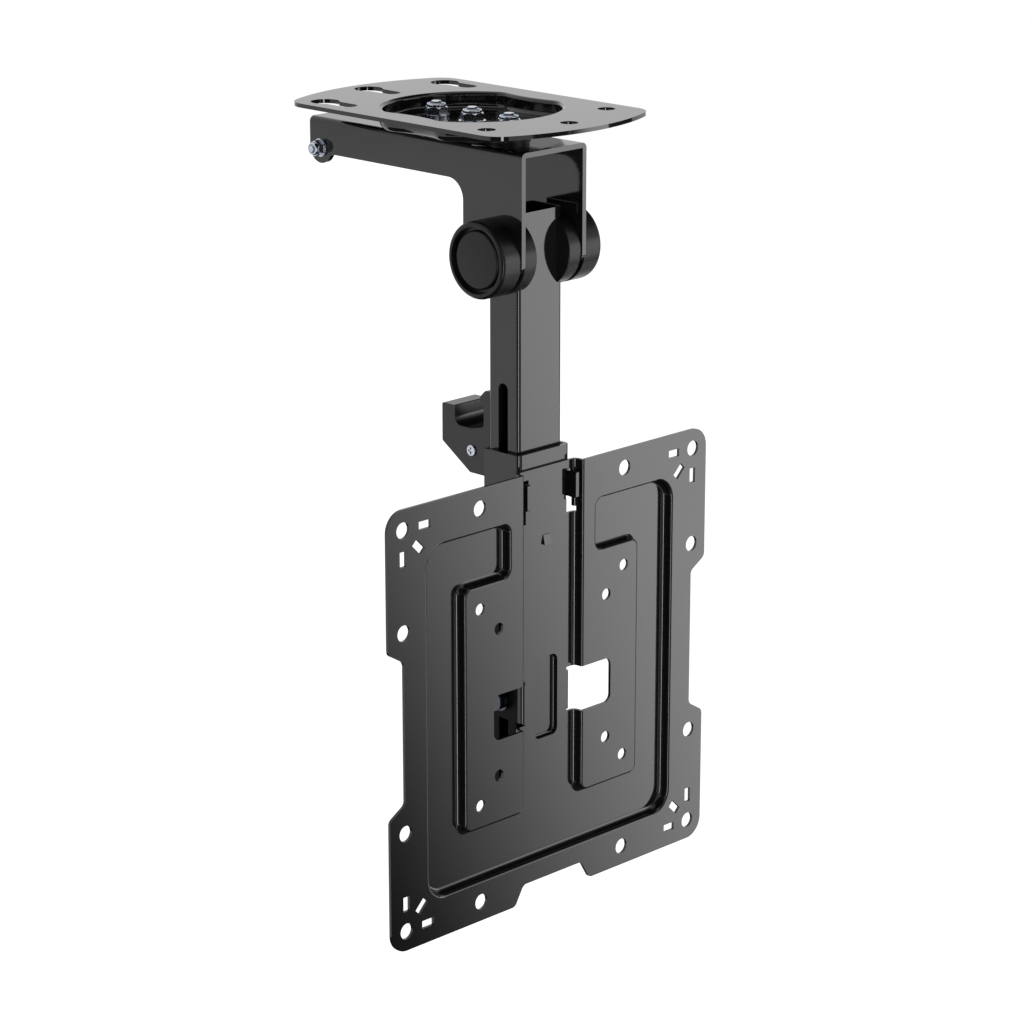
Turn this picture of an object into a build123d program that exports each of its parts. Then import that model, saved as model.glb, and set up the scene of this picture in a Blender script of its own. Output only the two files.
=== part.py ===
from build123d import *
import os
from math import sqrt

# Folding ceiling mount for a flat screen, millimetres.
# Origin: swivel axis, on the plane of the ceiling. X right, Y back, Z up.

# Ceiling plate
PLATE_SHEET = 2.0
PLATE_HALF_WIDTH = 52.5
PLATE_FRONT = -79.8
PLATE_BACK = 84.7
PLATE_END_RADIUS = 109.0
PLATE_CORNER_RADIUS = 12.0
CEILING_HOLE_X = 40.0
FRONT_HOLE_Y = -50.1
FRONT_HOLE_DROP = 14.0
FRONT_HOLE_RADIUS = 4.25
KEYHOLE_Y = 43.45
KEYHOLE_RISE = 12.5
KEYHOLE_SMALL_RADIUS = 4.25
KEYHOLE_BIG_RADIUS = 7.0
KEYHOLE_TRAVEL = 16.75

# Dish pressed into the ceiling plate, where the swivel nuts sit
DISH_RADIUS = 42.6
DISH_WAIST = 36.0
DISH_WAIST_RADIUS = 64.0
DISH_CORNER_RADIUS = 8.0
DISH_DROP = 7.8
DISH_RIM_RADIUS = 1.8
DISH_FLOOR_RADIUS = 2.2
GUIDE_RADIUS = 24.7
GUIDE_SLOT_WIDTH = 6.6
SWIVEL_HALF_ANGLE = 45.0

# Swivel fasteners
SWIVEL_THREAD = 6.0
STUD_HEAD_DIAMETER = 9.0
STUD_HEAD_SINK = 1.8
SWIVEL_WASHER_DIAMETER = 13.2
SWIVEL_WASHER_THICK = 1.2
SWIVEL_NUT_FLATS = 10.0
SWIVEL_NUT_HEX = 4.2
SWIVEL_NUT_COLLAR = 1.3
STUD_TIP = 1.0
STUD_POINT = 0.5
FRICTION_PAD_THICK = 3.2
FRICTION_PAD_RADIUS = 18.5
FRICTION_PAD_LENGTH = 62.0

# Channel bracket: roof, two legs at the front, two lugs at the back
CHANNEL_SHEET = 2.5
CHANNEL_HALF_WIDTH = 21.7
CHANNEL_BEND_RADIUS = 2.75
LEG_FRONT = -54.7
LEG_DEPTH = 39.1
ARM_DEPTH = 17.3
ARM_BACK = 92.0
ARM_FILLET = 10.0
LUG_RADIUS = 7.7
LUG_DROP = 14.8
LUG_NECK_FILLET = 2.6
LEG_CORNER_CUT = 11.0
LEG_CORNER_FILLET = 5.0
LEG_BELOW_HINGE = 14.4

# Hinge
HINGE_Y = -35.6
HINGE_Z = -64.6
HUB_RADIUS = 18.6
HUB_EDGE_RADIUS = 1.8
CAP_DEPTH = 11.8
CAP_RIM_INNER_RADIUS = 16.0
CAP_FACE_RECESS = 3.0
CAP_WEB = 2.0
CAP_WALL = 3.2
COVER_RADIUS = 14.2
COVER_PLUG_RADIUS = 11.8
COVER_PLUG_LENGTH = 2.2
COVER_EDGE_RADIUS = 1.5
COVER_DOME = 0.5
COVER_INSET = 0.4
DISC_OUTER_GAP = 0.25
DISC_INNER_X = 10.9
DISC_EDGE_RADIUS = 0.5
HINGE_BOLT_DIAMETER = 8.0
HINGE_BOLT_FLATS = 13.0
HINGE_HEAD_HEIGHT = 4.5
HINGE_WASHER_DIAMETER = 17.0
HINGE_WASHER_THICK = 1.6
HINGE_NUT_HEIGHT = 3.4
HINGE_TIP = 0.4
DISC_SPRING_DIAMETER = 20.0
DISC_SPRING_SHEET = 0.9
DISC_SPRING_CONE = 0.35
SLEEVE_WALL = 3.0
RUNNING_CLEARANCE = 0.05
BOLT_HOLE_CLEARANCE = 0.15

# Post: rectangular tube with a long slot in each side
POST_WIDTH = 30.0
POST_DEPTH = 20.0
POST_WALL = 1.5
POST_CORNER_RADIUS = 1.9
POST_ABOVE_HINGE = 20.8
POST_BELOW_HINGE = 303.0
SLOT_WIDTH = 6.4
SLOT_TOP_BELOW_HINGE = 62.5
SLOT_BOTTOM_ABOVE_END = 24.0
PLUG_FLANGE = 2.0
PLUG_DEPTH = 14.0
PLUG_EDGE_RADIUS = 0.6
PLUG_FIT = 0.1

# Screen plate
SCREEN_SHEET = 1.5
SCREEN_CENTRE_BELOW_HINGE = 213.5
SCREEN_CORNER_RADIUS = 10.0
VESA_LARGE = 100.0
SCREEN_MARGIN = 10.0
VESA_SMALL = 50.0
VESA_TINY = 37.5
VESA_LARGE_RADIUS = 4.0
VESA_SMALL_RADIUS = 3.0
SIDE_NOTCH_DEPTH = 10.0
SIDE_NOTCH_HALF = 35.5
SIDE_NOTCH_SLOPE = 6.0
BOTTOM_NOTCH_DEPTH = 10.0
BOTTOM_NOTCH_HALF = 20.5
BOTTOM_NOTCH_SLOPE = 6.0
NOTCH_FILLET = 3.5
CORNER_SLOT_LENGTH = 7.5
CORNER_SLOT_WIDTH = 4.0
CORNER_SLOT_OFFSET = 14.0
CORNER_SLOT_DIAGONAL = 90.0
RECESS_DEPTH = 5.0
RECESS_HALF = 84.5
RECESS_TOP = 88.0
RECESS_BOTTOM = -89.0
RECESS_CORNER_RADIUS = 11.0
ISLAND_OUTER = 60.5
ISLAND_INNER = 20.0
ISLAND_NECK = 30.0
ISLAND_HALF = 62.0
ISLAND_CORNER_RADIUS = 4.5
RECESS_RIM_RADIUS = 1.3
RECESS_FLOOR_RADIUS = 2.2
POCKET_HALF = 8.0
POCKET_TOP = 13.3
POCKET_BOTTOM = -28.7
POCKET_DEPTH = 2.6
POCKET_CORNER_RADIUS = 3.5
WINDOW_OUTER = 41.0
WINDOW_TOP = 3.95
WINDOW_BOTTOM = -19.3
WINDOW_CORNER_RADIUS = 4.0
FLANGE_GAP = 0.25
FLANGE_BEND_RADIUS = 1.75
FLANGE_TOP = 1.7
FLANGE_BOTTOM = -18.0
FLANGE_DEPTH = 22.7
RELIEF_DEPTH = 0.5
BUMP_SIZE = 4.8
BUMP_TOP_HEIGHT = 0.3
BUMP_FOOT_HEIGHT = 1.4
BUMP_CENTRE = 73.3

# Slots for the carrier's tabs: heights are below the screen plate's top edge
TAB_SLOT_TOP = 4.7
TAB_SLOT_STEP = 19.5
TAB_SLOT_BOTTOM = 26.7
TAB_SLOT_INNER = 12.3
TAB_SLOT_INNER_LOW = 14.0
TAB_SLOT_WALL_LEFT = 4.0
TAB_SLOT_FOOT_TOP = 24.0
TAB_SLOT_FOOT_INNER = 18.8
TAB_SLOT_SIDE_GAP = 0.2

# Carrier: short channel round the post, spot welded to the screen plate.
# Its heights are above or below the screen plate's top edge.
CARRIER_SHEET = 2.0
CARRIER_BEND_RADIUS = 2.4
CARRIER_HALF_WIDTH = 17.7
CARRIER_SIDE_DEPTH = 23.3
CARRIER_ABOVE = 7.6
CARRIER_BELOW = 30.0
CARRIER_REAR_FILLET = 4.0
CARRIER_NOTCH_INNER = 12.5
TAB_TOP_BELOW = 5.5
TAB_BOTTOM_BELOW = 18.5
TAB_INSET = 0.3
TAB_FILLET = 0.6
STRAP_SHEET = 2.0
STRAP_INSET = 1.0
STRAP_GAP = 0.1
LINER_GAP = 0.1
LINER_FRONT_THICK = 0.85
LINER_END_MARGIN = 1.5

# Clamp bolt through the flanges and the post's slots
CLAMP_Z = -8.0
CLAMP_THREAD = 6.0
CLAMP_FLATS = 10.0
CLAMP_HEAD_HEIGHT = 4.0
CLAMP_WASHER_DIAMETER = 12.0
CLAMP_WASHER_THICK = 1.6
CLAMP_NUT_HEX = 4.2
CLAMP_NUT_COLLAR = 1.8
CLAMP_TIP = 1.5

# Latch hook behind the post: Y from the post's back face, Z from the screen plate's top edge
LATCH_HALF_WIDTH = 10.75
LATCH_SIDE = 2.25
LATCH_WEB = 2.4
LATCH_PIN_Y = 15.8
LATCH_PIN_Z = 1.9
LATCH_PIN_DIAMETER = 4.0
LATCH_PIN_HEAD = 5.8
LATCH_PIN_HEAD_HEIGHT = 0.9
CROSS_DEPTH = 0.5
CROSS_REACH = 1.7
CROSS_HALF_WIDTH = 0.5
LATCH_BACK = 36.4
LATCH_TOP = 22.6
LATCH_BOTTOM = -9.3
LATCH_LOWER_BACK = 3.3
LATCH_LOWER_FRONT = 17.2
LATCH_NOTCH_BACK = 27.5
LATCH_NOTCH_FRONT = 7.6
LATCH_NOTCH_FLOOR = 12.9
LATCH_NOTCH_RISE = 2.0
LATCH_NOTCH_LEVEL = 9.5
LATCH_NOTCH_CORNER = 4.0
LATCH_THUMB_TOP = 34.0
LATCH_THUMB_BACK = 10.1
LATCH_THUMB_UNDER = 27.4
LATCH_THUMB_STEP = 1.5
LATCH_THUMB_CORNER = 3.5
LATCH_EDGE_RADIUS = 1.2
LATCH_FRONT = 2.8
LATCH_HEEL = 5.8
LATCH_HEEL_TOP = 2.0
LATCH_HEEL_SLOPE = 6.0
EAR_RADIUS = 5.0
EAR_SHEET = 2.0
EAR_GAP = 0.2
LATCH_SPRING_RADIUS = 3.3
LATCH_SPRING_WIRE = 0.9
LATCH_SPRING_PITCH = 1.3
LATCH_SPRING_TURNS = 4.25
EAR_ROOT_MARGIN = 1.0

# Stow bolt across the lugs, which the latch hook holds when the arm is folded
STOW_THREAD = 4.0
STOW_FLATS = 7.0
STOW_NUT_HEX = 3.2
STOW_NUT_COLLAR = 1.8
STOW_HEAD_HEIGHT = 2.8
STOW_WASHER_DIAMETER = 9.0
STOW_WASHER_THICK = 0.8
STOW_TIP = 0.6

# Nuts and cuts
NUT_CORNER_SHARE = 0.55
NUT_COLLAR_INSET = 0.3
NUT_COLLAR_ROUNDING = 0.45
SPARE = 1.0
SEAM_OVERLAP = 0.01

# Places worked out from the sizes above
dish_underside = -DISH_DROP - PLATE_SHEET
roof_top = dish_underside - FRICTION_PAD_THICK
roof_under = roof_top - CHANNEL_SHEET
leg_back = LEG_FRONT + LEG_DEPTH
leg_inner = CHANNEL_HALF_WIDTH - CHANNEL_SHEET
leg_bottom = HINGE_Z - LEG_BELOW_HINGE
arm_under = roof_top - ARM_DEPTH
lug_y = ARM_BACK - LUG_RADIUS
lug_z = roof_top - LUG_DROP
post_front = HINGE_Y - POST_DEPTH / 2
post_back = HINGE_Y + POST_DEPTH / 2
post_side = POST_WIDTH / 2
post_top = HINGE_Z + POST_ABOVE_HINGE
post_end = HINGE_Z - POST_BELOW_HINGE
slot_top = HINGE_Z - SLOT_TOP_BELOW_HINGE
slot_bottom = post_end + SLOT_BOTTOM_ABOVE_END
screen_z = HINGE_Z - SCREEN_CENTRE_BELOW_HINGE
screen_half = VESA_LARGE + SCREEN_MARGIN
screen_top = screen_z + screen_half
carrier_inner = CARRIER_HALF_WIDTH - CARRIER_SHEET
liner_inner = post_side + LINER_GAP
carrier_front = post_front - LINER_GAP - LINER_FRONT_THICK - CARRIER_SHEET
carrier_back = carrier_front + CARRIER_SIDE_DEPTH
screen_front = carrier_front - SCREEN_SHEET - RECESS_DEPTH
strip_front = screen_front + RECESS_DEPTH
flange_inner = post_side + FLANGE_GAP
flange_outer = flange_inner + SCREEN_SHEET
strap_front = post_back + STRAP_GAP
strap_back = strap_front + STRAP_SHEET
clamp_z = screen_z + CLAMP_Z
tab_front = screen_front + TAB_INSET
carrier_low = screen_top - CARRIER_BELOW
carrier_high = screen_top + CARRIER_ABOVE
latch_pin_y = post_back + LATCH_PIN_Y
latch_pin_z = screen_top + LATCH_PIN_Z


def block(x0, x1, y0, y1, z0, z1):
    """Box between two corners."""
    middle = Pos((x0 + x1) / 2, (y0 + y1) / 2, (z0 + z1) / 2)
    return middle * Box(abs(x1 - x0), abs(y1 - y0), abs(z1 - z0))


def rod_x(x0, x1, y, z, radius):
    """Cylinder along X."""
    return Pos((x0 + x1) / 2, y, z) * Rot(0, 90, 0) * Cylinder(radius, abs(x1 - x0))


def rod_y(y0, y1, x, z, radius):
    """Cylinder along Y."""
    return Pos(x, (y0 + y1) / 2, z) * Rot(90, 0, 0) * Cylinder(radius, abs(y1 - y0))


def rod_z(z0, z1, x, y, radius):
    """Cylinder along Z."""
    return Pos(x, y, (z0 + z1) / 2) * Cylinder(radius, abs(z1 - z0))


def from_middle(y, outline, depth):
    """Sketch of X and Z about the screen's centre, stood up at y and made depth thick."""
    wall = Plane(origin=(0, y, screen_z), x_dir=(1, 0, 0), z_dir=(0, -1, 0))
    return extrude(wall * outline, amount=depth, dir=(0, 1, 0))


def across(outline, x0, x1):
    """Sketch of Y and Z, laid across the mount between x0 and x1."""
    side = Plane(origin=(x0, 0, 0), x_dir=(0, 1, 0), z_dir=(1, 0, 0))
    return extrude(side * outline, amount=x1 - x0, dir=(1, 0, 0))


def rounded(corners):
    """Closed outline from (x, y, radius) corners."""
    outline = Polygon(*[(x, y) for x, y, radius in corners], align=None)
    for radius in sorted({radius for x, y, radius in corners if radius > 0}):
        spots = [Vector(x, y, 0) for x, y, r in corners if r == radius]
        near = [v for v in outline.vertices() if min((v.center() - s).length for s in spots) < 1e-3]
        outline = fillet(near, radius)
    return outline


def edges_at(solid, axis, place, test=None):
    """Edges of a solid that lie in one plane across an axis."""
    found = []
    for edge in solid.edges():
        box = edge.bounding_box()
        low = getattr(box.min, axis)
        high = getattr(box.max, axis)
        if abs(low - place) < 1e-4 and abs(high - place) < 1e-4:
            if test is None or test(edge):
                found.append(edge)
    return found


def circles_at(solid, x):
    """Round edges of a piece along X, at one end."""
    return [e for e in solid.edges().filter_by(GeomType.CIRCLE) if abs(e.center().X - x) < 1e-4]


def hexagon_x(x0, x1, y, z, flats):
    """Hexagonal prism along X, with its corners taken off like a nut's."""
    prism = extrude(RegularPolygon(flats / 2, 6, major_radius=False), amount=x1 - x0)
    return (Pos(x0, y, z) * Rot(0, 90, 0) * prism) & nut_barrel(x0, x1, y, z, flats)


def nut_barrel(x0, x1, y, z, flats):
    """Barrel that takes the corners off a hexagon."""
    corner = flats / sqrt(3)
    barrel = rod_x(x0, x1, y, z, corner)
    return chamfer(barrel.edges().filter_by(GeomType.CIRCLE), (corner - flats / 2) * NUT_CORNER_SHARE, None)


def nyloc_x(x0, y, z, thread, flats, hex_height, collar_height):
    """Lock nut along +X from its seat, with its round collar, bored for its bolt."""
    face = x0 + hex_height
    collar = rod_x(face, face + collar_height, y, z, flats / 2 - NUT_COLLAR_INSET)
    rim = circles_at(collar, face + collar_height)
    nut = hexagon_x(x0, face, y, z, flats) + fillet(rim, collar_height * NUT_COLLAR_ROUNDING)
    return nut - rod_x(x0 - SPARE, face + collar_height + SPARE, y, z, thread / 2 + RUNNING_CLEARANCE)


def washer_x(x0, x1, y, z, diameter, thread):
    """Flat washer across X."""
    hole = rod_x(x0 - SPARE, x1 + SPARE, y, z, thread / 2 + BOLT_HOLE_CLEARANCE)
    return rod_x(x0, x1, y, z, diameter / 2) - hole


def upright(solid, x, y, z):
    """Piece made along +X from the origin, turned to stand up along +Z at a place."""
    return Pos(x, y, z) * Rot(0, -90, 0) * solid


def mirrored(solid):
    """Copy on the other side of the middle plane."""
    return mirror(solid, about=Plane.YZ)


def pair(solid):
    """A piece and its mirror image."""
    return [solid, mirrored(solid)]


def dish_outline():
    """Round dish with a slight waist at each side."""
    waist_x = DISH_WAIST + DISH_WAIST_RADIUS
    outline = Circle(DISH_RADIUS)
    outline -= Pos(waist_x, 0) * Circle(DISH_WAIST_RADIUS)
    outline -= Pos(-waist_x, 0) * Circle(DISH_WAIST_RADIUS)
    return fillet(outline.vertices(), DISH_CORNER_RADIUS)


def keyhole(x, y):
    """Round entry behind, narrow end in front."""
    middle = y + KEYHOLE_TRAVEL / 2
    neck = Pos(x, middle) * Rectangle(2 * KEYHOLE_SMALL_RADIUS, KEYHOLE_TRAVEL)
    entry = Pos(x, y + KEYHOLE_TRAVEL) * Circle(KEYHOLE_BIG_RADIUS)
    return neck + entry + Pos(x, y) * Circle(KEYHOLE_SMALL_RADIUS)


def make_ceiling_plate():
    length = PLATE_BACK - PLATE_FRONT
    outline = Pos(0, (PLATE_BACK + PLATE_FRONT) / 2) * Rectangle(2 * PLATE_HALF_WIDTH, length)
    outline &= Pos(0, PLATE_BACK - PLATE_END_RADIUS) * Circle(PLATE_END_RADIUS)
    outline &= Pos(0, PLATE_FRONT + PLATE_END_RADIUS) * Circle(PLATE_END_RADIUS)
    outline = fillet(outline.vertices(), PLATE_CORNER_RADIUS)
    flat = Pos(0, 0, -PLATE_SHEET) * extrude(outline, amount=PLATE_SHEET)
    inside = dish_outline()
    cavity = Pos(0, 0, -DISH_DROP) * extrude(inside, amount=DISH_DROP)
    cavity = fillet(edges_at(cavity, "Z", -DISH_DROP), DISH_FLOOR_RADIUS)
    cup = Pos(0, 0, dish_underside) * extrude(offset(inside, PLATE_SHEET), amount=DISH_DROP)
    cup = fillet(edges_at(cup, "Z", dish_underside), DISH_FLOOR_RADIUS + PLATE_SHEET)
    plate = flat + cup - cavity
    reach = max(DISH_RADIUS, DISH_WAIST) + SPARE
    rim = edges_at(plate, "Z", 0, lambda e: e.center().length < reach and e.bounding_box().max.Y < reach)
    plate = fillet([e for e in rim if abs(e.bounding_box().min.Y) < reach], DISH_RIM_RADIUS)
    holes = [Pos(side * CEILING_HOLE_X, FRONT_HOLE_Y) * Circle(FRONT_HOLE_RADIUS) for side in (-1, 1)]
    holes.append(Pos(0, FRONT_HOLE_Y - FRONT_HOLE_DROP) * Circle(FRONT_HOLE_RADIUS))
    holes += [keyhole(side * CEILING_HOLE_X, KEYHOLE_Y) for side in (-1, 1)]
    holes.append(keyhole(0, KEYHOLE_Y + KEYHOLE_RISE))
    for turn in (90, -90):
        sweep_arc = CenterArc((0, 0), GUIDE_RADIUS, turn - SWIVEL_HALF_ANGLE, 2 * SWIVEL_HALF_ANGLE)
        holes.append(SlotArc(sweep_arc, GUIDE_SLOT_WIDTH))
    holes.append(Circle(SWIVEL_THREAD / 2 + RUNNING_CLEARANCE))
    for hole in holes:
        plate -= Pos(0, 0, dish_underside - SPARE) * extrude(hole, amount=2 * SPARE - dish_underside)
    return plate


def swivel_spots():
    """Guide studs in front and behind, and the pivot between them."""
    return [(0, -GUIDE_RADIUS), (0, GUIDE_RADIUS)], [(0, 0)]


def swivel_stud(x, y):
    """Clinched stud, its head flush with the roof's underside."""
    washer_top = -DISH_DROP + SWIVEL_WASHER_THICK
    top = washer_top + SWIVEL_NUT_HEX + SWIVEL_NUT_COLLAR + STUD_TIP
    head = rod_z(roof_under, roof_under + STUD_HEAD_SINK, x, y, STUD_HEAD_DIAMETER / 2)
    shank = rod_z(roof_under, top, x, y, SWIVEL_THREAD / 2)
    point = [e for e in shank.edges().filter_by(GeomType.CIRCLE) if abs(e.center().Z - top) < 1e-4]
    return head + chamfer(point, STUD_POINT)


def make_swivel_fasteners():
    guides, pivots = swivel_spots()
    nut = nyloc_x(0, 0, 0, SWIVEL_THREAD, SWIVEL_NUT_FLATS, SWIVEL_NUT_HEX, SWIVEL_NUT_COLLAR)
    ring = washer_x(0, SWIVEL_WASHER_THICK, 0, 0, SWIVEL_WASHER_DIAMETER, SWIVEL_THREAD)
    seat = -DISH_DROP + SWIVEL_WASHER_THICK
    nodes = {}
    for name, spots in (("guide", guides), ("pivot", pivots)):
        plural = "s" if len(spots) > 1 else ""
        nodes[name + "_stud" + plural] = [swivel_stud(x, y) for x, y in spots]
        nodes[name + "_washer" + plural] = [upright(ring, x, y, -DISH_DROP) for x, y in spots]
        nodes[name + "_nut" + plural] = [upright(nut, x, y, seat) for x, y in spots]
    return nodes


def make_friction_pad():
    pad = Pos(0, 0, roof_top) * extrude(
        SlotOverall(FRICTION_PAD_LENGTH, 2 * FRICTION_PAD_RADIUS, rotation=90), amount=FRICTION_PAD_THICK
    )
    guides, pivots = swivel_spots()
    for x, y in guides + pivots:
        pad -= rod_z(roof_top - SPARE, dish_underside + SPARE, x, y, SWIVEL_THREAD / 2 + BOLT_HOLE_CLEARANCE)
    return pad


def channel_side_outline():
    """Side of the channel in Y and Z: a leg in front, an arm, and a lug at the back."""
    leg = rounded([
        (LEG_FRONT, roof_top, 0),
        (LEG_FRONT, leg_bottom + LEG_CORNER_CUT, LEG_CORNER_FILLET),
        (LEG_FRONT + LEG_CORNER_CUT, leg_bottom, LEG_CORNER_FILLET),
        (leg_back - LEG_CORNER_CUT, leg_bottom, LEG_CORNER_FILLET),
        (leg_back, leg_bottom + LEG_CORNER_CUT, LEG_CORNER_FILLET),
        (leg_back, roof_top, 0),
    ])
    arm = Polygon((LEG_FRONT, roof_top), (LEG_FRONT, arm_under), (lug_y, arm_under), (lug_y, roof_top),
                  align=None)
    lug = Pos(lug_y, lug_z) * Circle(LUG_RADIUS)
    lug += Polygon((lug_y, lug_z), (ARM_BACK, lug_z), (ARM_BACK, roof_top), (lug_y, roof_top), align=None)
    side = leg + arm + lug
    inner = [v for v in side.vertices() if abs(v.Y - arm_under) < 1e-3 and abs(v.X - leg_back) < 1e-3]
    side = fillet(inner, ARM_FILLET)
    neck = [v for v in side.vertices() if abs(v.Y - arm_under) < 1e-3 and v.X > leg_back + ARM_FILLET + 1]
    return fillet(neck, LUG_NECK_FILLET)


def make_channel_bracket():
    solid = across(channel_side_outline(), -CHANNEL_HALF_WIDTH, CHANNEL_HALF_WIDTH)
    sides = edges_at(solid, "Z", roof_top, lambda e: abs(abs(e.center().X) - CHANNEL_HALF_WIDTH) < 1e-4)
    solid = fillet(sides, CHANNEL_BEND_RADIUS)
    room = block(-leg_inner, leg_inner, LEG_FRONT - SPARE, ARM_BACK + SPARE, leg_bottom - SPARE, roof_under)
    bends = [e for e in edges_at(room, "Z", roof_under) if abs(abs(e.center().X) - leg_inner) < 1e-4]
    bracket = solid - fillet(bends, CHANNEL_BEND_RADIUS - CHANNEL_SHEET)
    wide = CHANNEL_HALF_WIDTH + SPARE
    bracket -= rod_x(-wide, wide, HINGE_Y, HINGE_Z, HINGE_BOLT_DIAMETER / 2 + BOLT_HOLE_CLEARANCE)
    bracket -= rod_x(-wide, wide, lug_y, lug_z, STOW_THREAD / 2 + BOLT_HOLE_CLEARANCE)
    guides, pivots = swivel_spots()
    for x, y in guides + pivots:
        bracket -= rod_z(roof_under - SPARE, roof_under + STUD_HEAD_SINK, x, y, STUD_HEAD_DIAMETER / 2)
        bracket -= rod_z(roof_under, roof_top + SPARE, x, y, SWIVEL_THREAD / 2)
    return bracket


def make_hub_cap():
    """Right cap: hollow over the bolt's end, with a round opening in its web for the cover."""
    x0 = CHANNEL_HALF_WIDTH
    x1 = x0 + CAP_DEPTH
    cap = rod_x(x0, x1, HINGE_Y, HINGE_Z, HUB_RADIUS)
    cap = fillet(circles_at(cap, x1), HUB_EDGE_RADIUS)
    seat = x1 - CAP_FACE_RECESS
    cap -= rod_x(seat, x1 + SPARE, HINGE_Y, HINGE_Z, CAP_RIM_INNER_RADIUS)
    cap -= rod_x(x0 - SPARE, seat - CAP_WEB, HINGE_Y, HINGE_Z, HUB_RADIUS - CAP_WALL)
    cap -= rod_x(x0, x1, HINGE_Y, HINGE_Z, COVER_PLUG_RADIUS + RUNNING_CLEARANCE)
    return cap


def make_cap_cover():
    """Right cover: domed round button that plugs into the cap's web."""
    x1 = CHANNEL_HALF_WIDTH + CAP_DEPTH
    seat = x1 - CAP_FACE_RECESS
    face = x1 - COVER_INSET
    button = rod_x(seat, face, HINGE_Y, HINGE_Z, COVER_RADIUS)
    dome_radius = (COVER_RADIUS ** 2 + COVER_DOME ** 2) / (2 * COVER_DOME)
    button &= Pos(face - dome_radius, HINGE_Y, HINGE_Z) * Sphere(dome_radius)
    rim = [e for e in button.edges().filter_by(GeomType.CIRCLE) if e.center().X > seat + 1e-3]
    button = fillet(rim, COVER_EDGE_RADIUS)
    return button + rod_x(seat - COVER_PLUG_LENGTH, seat, HINGE_Y, HINGE_Z, COVER_PLUG_RADIUS)


def make_hinge_disc():
    """Right disc: it grips the post's side and runs against the leg."""
    outer = leg_inner - DISC_OUTER_GAP
    disc = rod_x(DISC_INNER_X, outer, HINGE_Y, HINGE_Z, HUB_RADIUS)
    disc = fillet(disc.edges().filter_by(GeomType.CIRCLE), DISC_EDGE_RADIUS)
    tall = HUB_RADIUS + SPARE
    disc -= block(0, post_side, post_front, post_back, HINGE_Z - tall, HINGE_Z + tall)
    return disc - rod_x(0, outer + SPARE, HINGE_Y, HINGE_Z, HINGE_BOLT_DIAMETER / 2 + RUNNING_CLEARANCE)


def cone_washer(x0, x1):
    """Disc spring: its bore rises from x0 to x1, or falls when x1 is smaller."""
    inner = HINGE_BOLT_DIAMETER / 2 + BOLT_HOLE_CLEARANCE
    outer = DISC_SPRING_DIAMETER / 2
    sheet = DISC_SPRING_SHEET
    section = Polygon((x0, outer), (x0 + sheet, outer), (x1 + sheet, inner), (x1, inner), align=None)
    return Pos(0, HINGE_Y, HINGE_Z) * revolve(section, Axis.X)


def make_hinge_hardware():
    left = -CHANNEL_HALF_WIDTH
    right = CHANNEL_HALF_WIDTH
    head_seat = left - HINGE_WASHER_THICK
    second = right + DISC_SPRING_CONE + DISC_SPRING_SHEET
    springs = [
        cone_washer(right, right + DISC_SPRING_CONE),
        cone_washer(second + DISC_SPRING_CONE, second),
    ]
    nut_seat = right + 2 * (DISC_SPRING_CONE + DISC_SPRING_SHEET)
    nut_face = nut_seat + HINGE_NUT_HEIGHT
    nut = hexagon_x(nut_seat, nut_face, HINGE_Y, HINGE_Z, HINGE_BOLT_FLATS)
    bore = HINGE_BOLT_DIAMETER / 2 + RUNNING_CLEARANCE
    nut -= rod_x(nut_seat - SPARE, nut_face + SPARE, HINGE_Y, HINGE_Z, bore)
    bolt = hexagon_x(head_seat - HINGE_HEAD_HEIGHT, head_seat, HINGE_Y, HINGE_Z, HINGE_BOLT_FLATS)
    bolt += rod_x(head_seat, nut_face + HINGE_TIP, HINGE_Y, HINGE_Z, HINGE_BOLT_DIAMETER / 2)
    washer = washer_x(head_seat, left, HINGE_Y, HINGE_Z, HINGE_WASHER_DIAMETER, HINGE_BOLT_DIAMETER)
    return {
        "hinge_bolt": [bolt],
        "hinge_washer": [washer],
        "disc_springs": springs,
        "hinge_nut": [nut],
    }


def make_hinge_sleeve():
    """Crush tube between the post's walls."""
    half = post_side - POST_WALL
    bore = HINGE_BOLT_DIAMETER / 2 + RUNNING_CLEARANCE
    tube = rod_x(-half, half, HINGE_Y, HINGE_Z, bore + SLEEVE_WALL)
    return tube - rod_x(-half - SPARE, half + SPARE, HINGE_Y, HINGE_Z, bore)


def make_cross_bolt(y, z, half, thread, flats, washer, washer_thick, head, nut_hex, nut_collar, tip,
                    to_left):
    """Bolt across the mount at (y, z) with a washer at each end; its nut is on the left or the right."""
    seat = half + washer_thick
    washers = [
        washer_x(half, seat, y, z, washer, thread),
        washer_x(-seat, -half, y, z, washer, thread),
    ]
    bolt = hexagon_x(-seat - head, -seat, y, z, flats)
    bolt += rod_x(-seat, seat + nut_hex + nut_collar + tip, y, z, thread / 2)
    nut = nyloc_x(seat, y, z, thread, flats, nut_hex, nut_collar)
    if to_left:
        return mirrored(bolt), washers, mirrored(nut)
    return bolt, washers, nut


def make_post():
    tube = Rectangle(POST_WIDTH, POST_DEPTH)
    tube = fillet(tube.vertices(), POST_CORNER_RADIUS)
    hollow = Rectangle(POST_WIDTH - 2 * POST_WALL, POST_DEPTH - 2 * POST_WALL)
    hollow = fillet(hollow.vertices(), POST_CORNER_RADIUS - POST_WALL)
    post = Pos(0, HINGE_Y, post_end) * extrude(tube - hollow, amount=post_top - post_end)
    bore = HINGE_BOLT_DIAMETER / 2 + RUNNING_CLEARANCE
    post -= rod_x(-post_side - SPARE, post_side + SPARE, HINGE_Y, HINGE_Z, bore)
    middle = (slot_top + slot_bottom) / 2
    slot = Pos(HINGE_Y, middle) * SlotOverall(slot_top - slot_bottom, SLOT_WIDTH, rotation=90)
    return post - across(slot, -post_side - SPARE, post_side + SPARE)


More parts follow.
